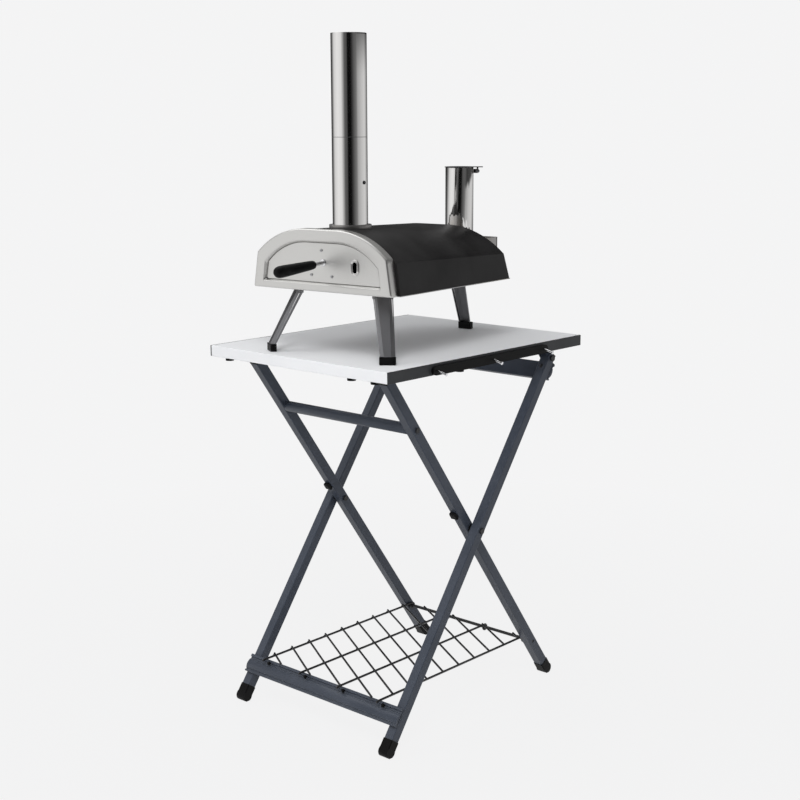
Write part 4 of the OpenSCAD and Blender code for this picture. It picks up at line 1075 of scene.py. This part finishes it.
def build_camera():
    """The camera, as solved from the photograph's corners."""
    lens = bpy.data.cameras.new("Camera")
    lens.lens = CAMERA_LENS
    lens.sensor_width = SENSOR_WIDTH
    camera = bpy.data.objects.new("Camera", lens)
    bpy.context.scene.collection.objects.link(camera)
    camera.matrix_world = (Matrix.Translation(CAMERA_PLACE) @ Matrix.Rotation(radians(CAMERA_AZIMUTH), 4, "Z")
                           @ Matrix.Rotation(pi / 2 - radians(CAMERA_DIP), 4, "X")
                           @ Matrix.Rotation(radians(CAMERA_ROLL), 4, "Z"))
    bpy.context.scene.camera = camera


class OVENTABLE_OT_stage(bpy.types.Operator):
    """Make the camera, the floor, the surround and the lights"""

    bl_idname = "oven_table.stage"
    bl_label = "Studio"

    def execute(self, context):
        settings = context.scene.oven_table_stage
        build_camera()
        build_floor(settings)
        build_world(settings)
        for name, (place, size, power) in LAMPS.items():
            area_light(name, place, size, getattr(settings, power))
        build_surround()
        build_ceiling_card()
        context.scene.view_settings.view_transform = "Standard"
        return {"FINISHED"}


class OVENTABLE_OT_finishes(bpy.types.Operator):
    """Make every finish from the colour settings"""

    bl_idname = "oven_table.finishes"
    bl_label = "Finishes"

    def execute(self, context):
        make_materials(context.scene)
        return {"FINISHED"}


class OVENTABLE_OT_front(bpy.types.Operator):
    """Make the oven's front plate, door, peephole rim and grip"""

    bl_idname = "oven_table.front"
    bl_label = "Oven Front"

    def execute(self, context):
        build_front_bezel(context.scene.oven_table_sizes)
        build_oven_door()
        build_peephole_rim()
        build_door_grip()
        return {"FINISHED"}


class OVENTABLE_OT_chimney(bpy.types.Operator):
    """Make the chimney's two lengths"""

    bl_idname = "oven_table.chimney"
    bl_label = "Chimney"

    def execute(self, context):
        build_chimney()
        return {"FINISHED"}


class OVENTABLE_OT_hooks(bpy.types.Operator):
    """Make the tool hooks on the right edge"""

    bl_idname = "oven_table.hooks"
    bl_label = "Tool Hooks"

    def execute(self, context):
        build_tool_hooks()
        return {"FINISHED"}


class OVENTABLE_OT_shelf(bpy.types.Operator):
    """Make the shelf's weld beads and the black nubs that paint its wire tips' shadows"""

    bl_idname = "oven_table.shelf"
    bl_label = "Shelf Details"

    def execute(self, context):
        build_shelf_welds(context.scene.oven_table_sizes)
        build_painted_wire_shadows()
        return {"FINISHED"}


class OVENTABLE_OT_fasteners(bpy.types.Operator):
    """Make the screws and bolts with their real heads"""

    bl_idname = "oven_table.fasteners"
    bl_label = "Fasteners"

    def execute(self, context):
        build_fasteners()
        return {"FINISHED"}


class OVENTABLE_OT_dress(bpy.types.Operator):
    """Give the frame's own nodes their finishes and soft edges"""

    bl_idname = "oven_table.dress"
    bl_label = "Frame Nodes"

    def execute(self, context):
        dress_cad_nodes(context.scene.oven_table_sizes)
        return {"FINISHED"}


OPERATORS = (OVENTABLE_OT_finishes, OVENTABLE_OT_stage, OVENTABLE_OT_front, OVENTABLE_OT_chimney,
             OVENTABLE_OT_hooks, OVENTABLE_OT_shelf, OVENTABLE_OT_fasteners, OVENTABLE_OT_dress)
SETTINGS = {"oven_table_stage": StageSettings, "oven_table_finish": TableFinish, "oven_finish": OvenFinish,
            "oven_table_sizes": DetailSizes}


class OVENTABLE_PT_panel(bpy.types.Panel):
    """Lists the settings and the operators"""

    bl_label = "Oven Table"
    bl_idname = "OVENTABLE_PT_panel"
    bl_space_type = "VIEW_3D"
    bl_region_type = "UI"
    bl_category = "Oven Table"

    def draw(self, context):
        for operator in OPERATORS:
            self.layout.operator(operator.bl_idname)
        for name, group in SETTINGS.items():
            box = self.layout.box()
            for key in group.__annotations__:
                box.prop(getattr(context.scene, name), key)


def register():
    """Registers the settings, the operators and the panel."""
    for name, group in SETTINGS.items():
        bpy.utils.register_class(group)
        setattr(bpy.types.Scene, name, PointerProperty(type=group))
    for operator in OPERATORS:
        bpy.utils.register_class(operator)
    bpy.utils.register_class(OVENTABLE_PT_panel)


def unregister():
    """Takes them away again."""
    bpy.utils.unregister_class(OVENTABLE_PT_panel)
    for operator in reversed(OPERATORS):
        bpy.utils.unregister_class(operator)
    for name, group in SETTINGS.items():
        delattr(bpy.types.Scene, name)
        bpy.utils.unregister_class(group)


def main():
    """Builds the dressed object and the studio."""
    register()
    bpy.ops.oven_table.finishes()
    bpy.ops.oven_table.stage()
    bpy.ops.oven_table.front()
    bpy.ops.oven_table.chimney()
    bpy.ops.oven_table.hooks()
    bpy.ops.oven_table.shelf()
    bpy.ops.oven_table.fasteners()
    bpy.ops.oven_table.dress()


if __name__ == "__main__":
    main()
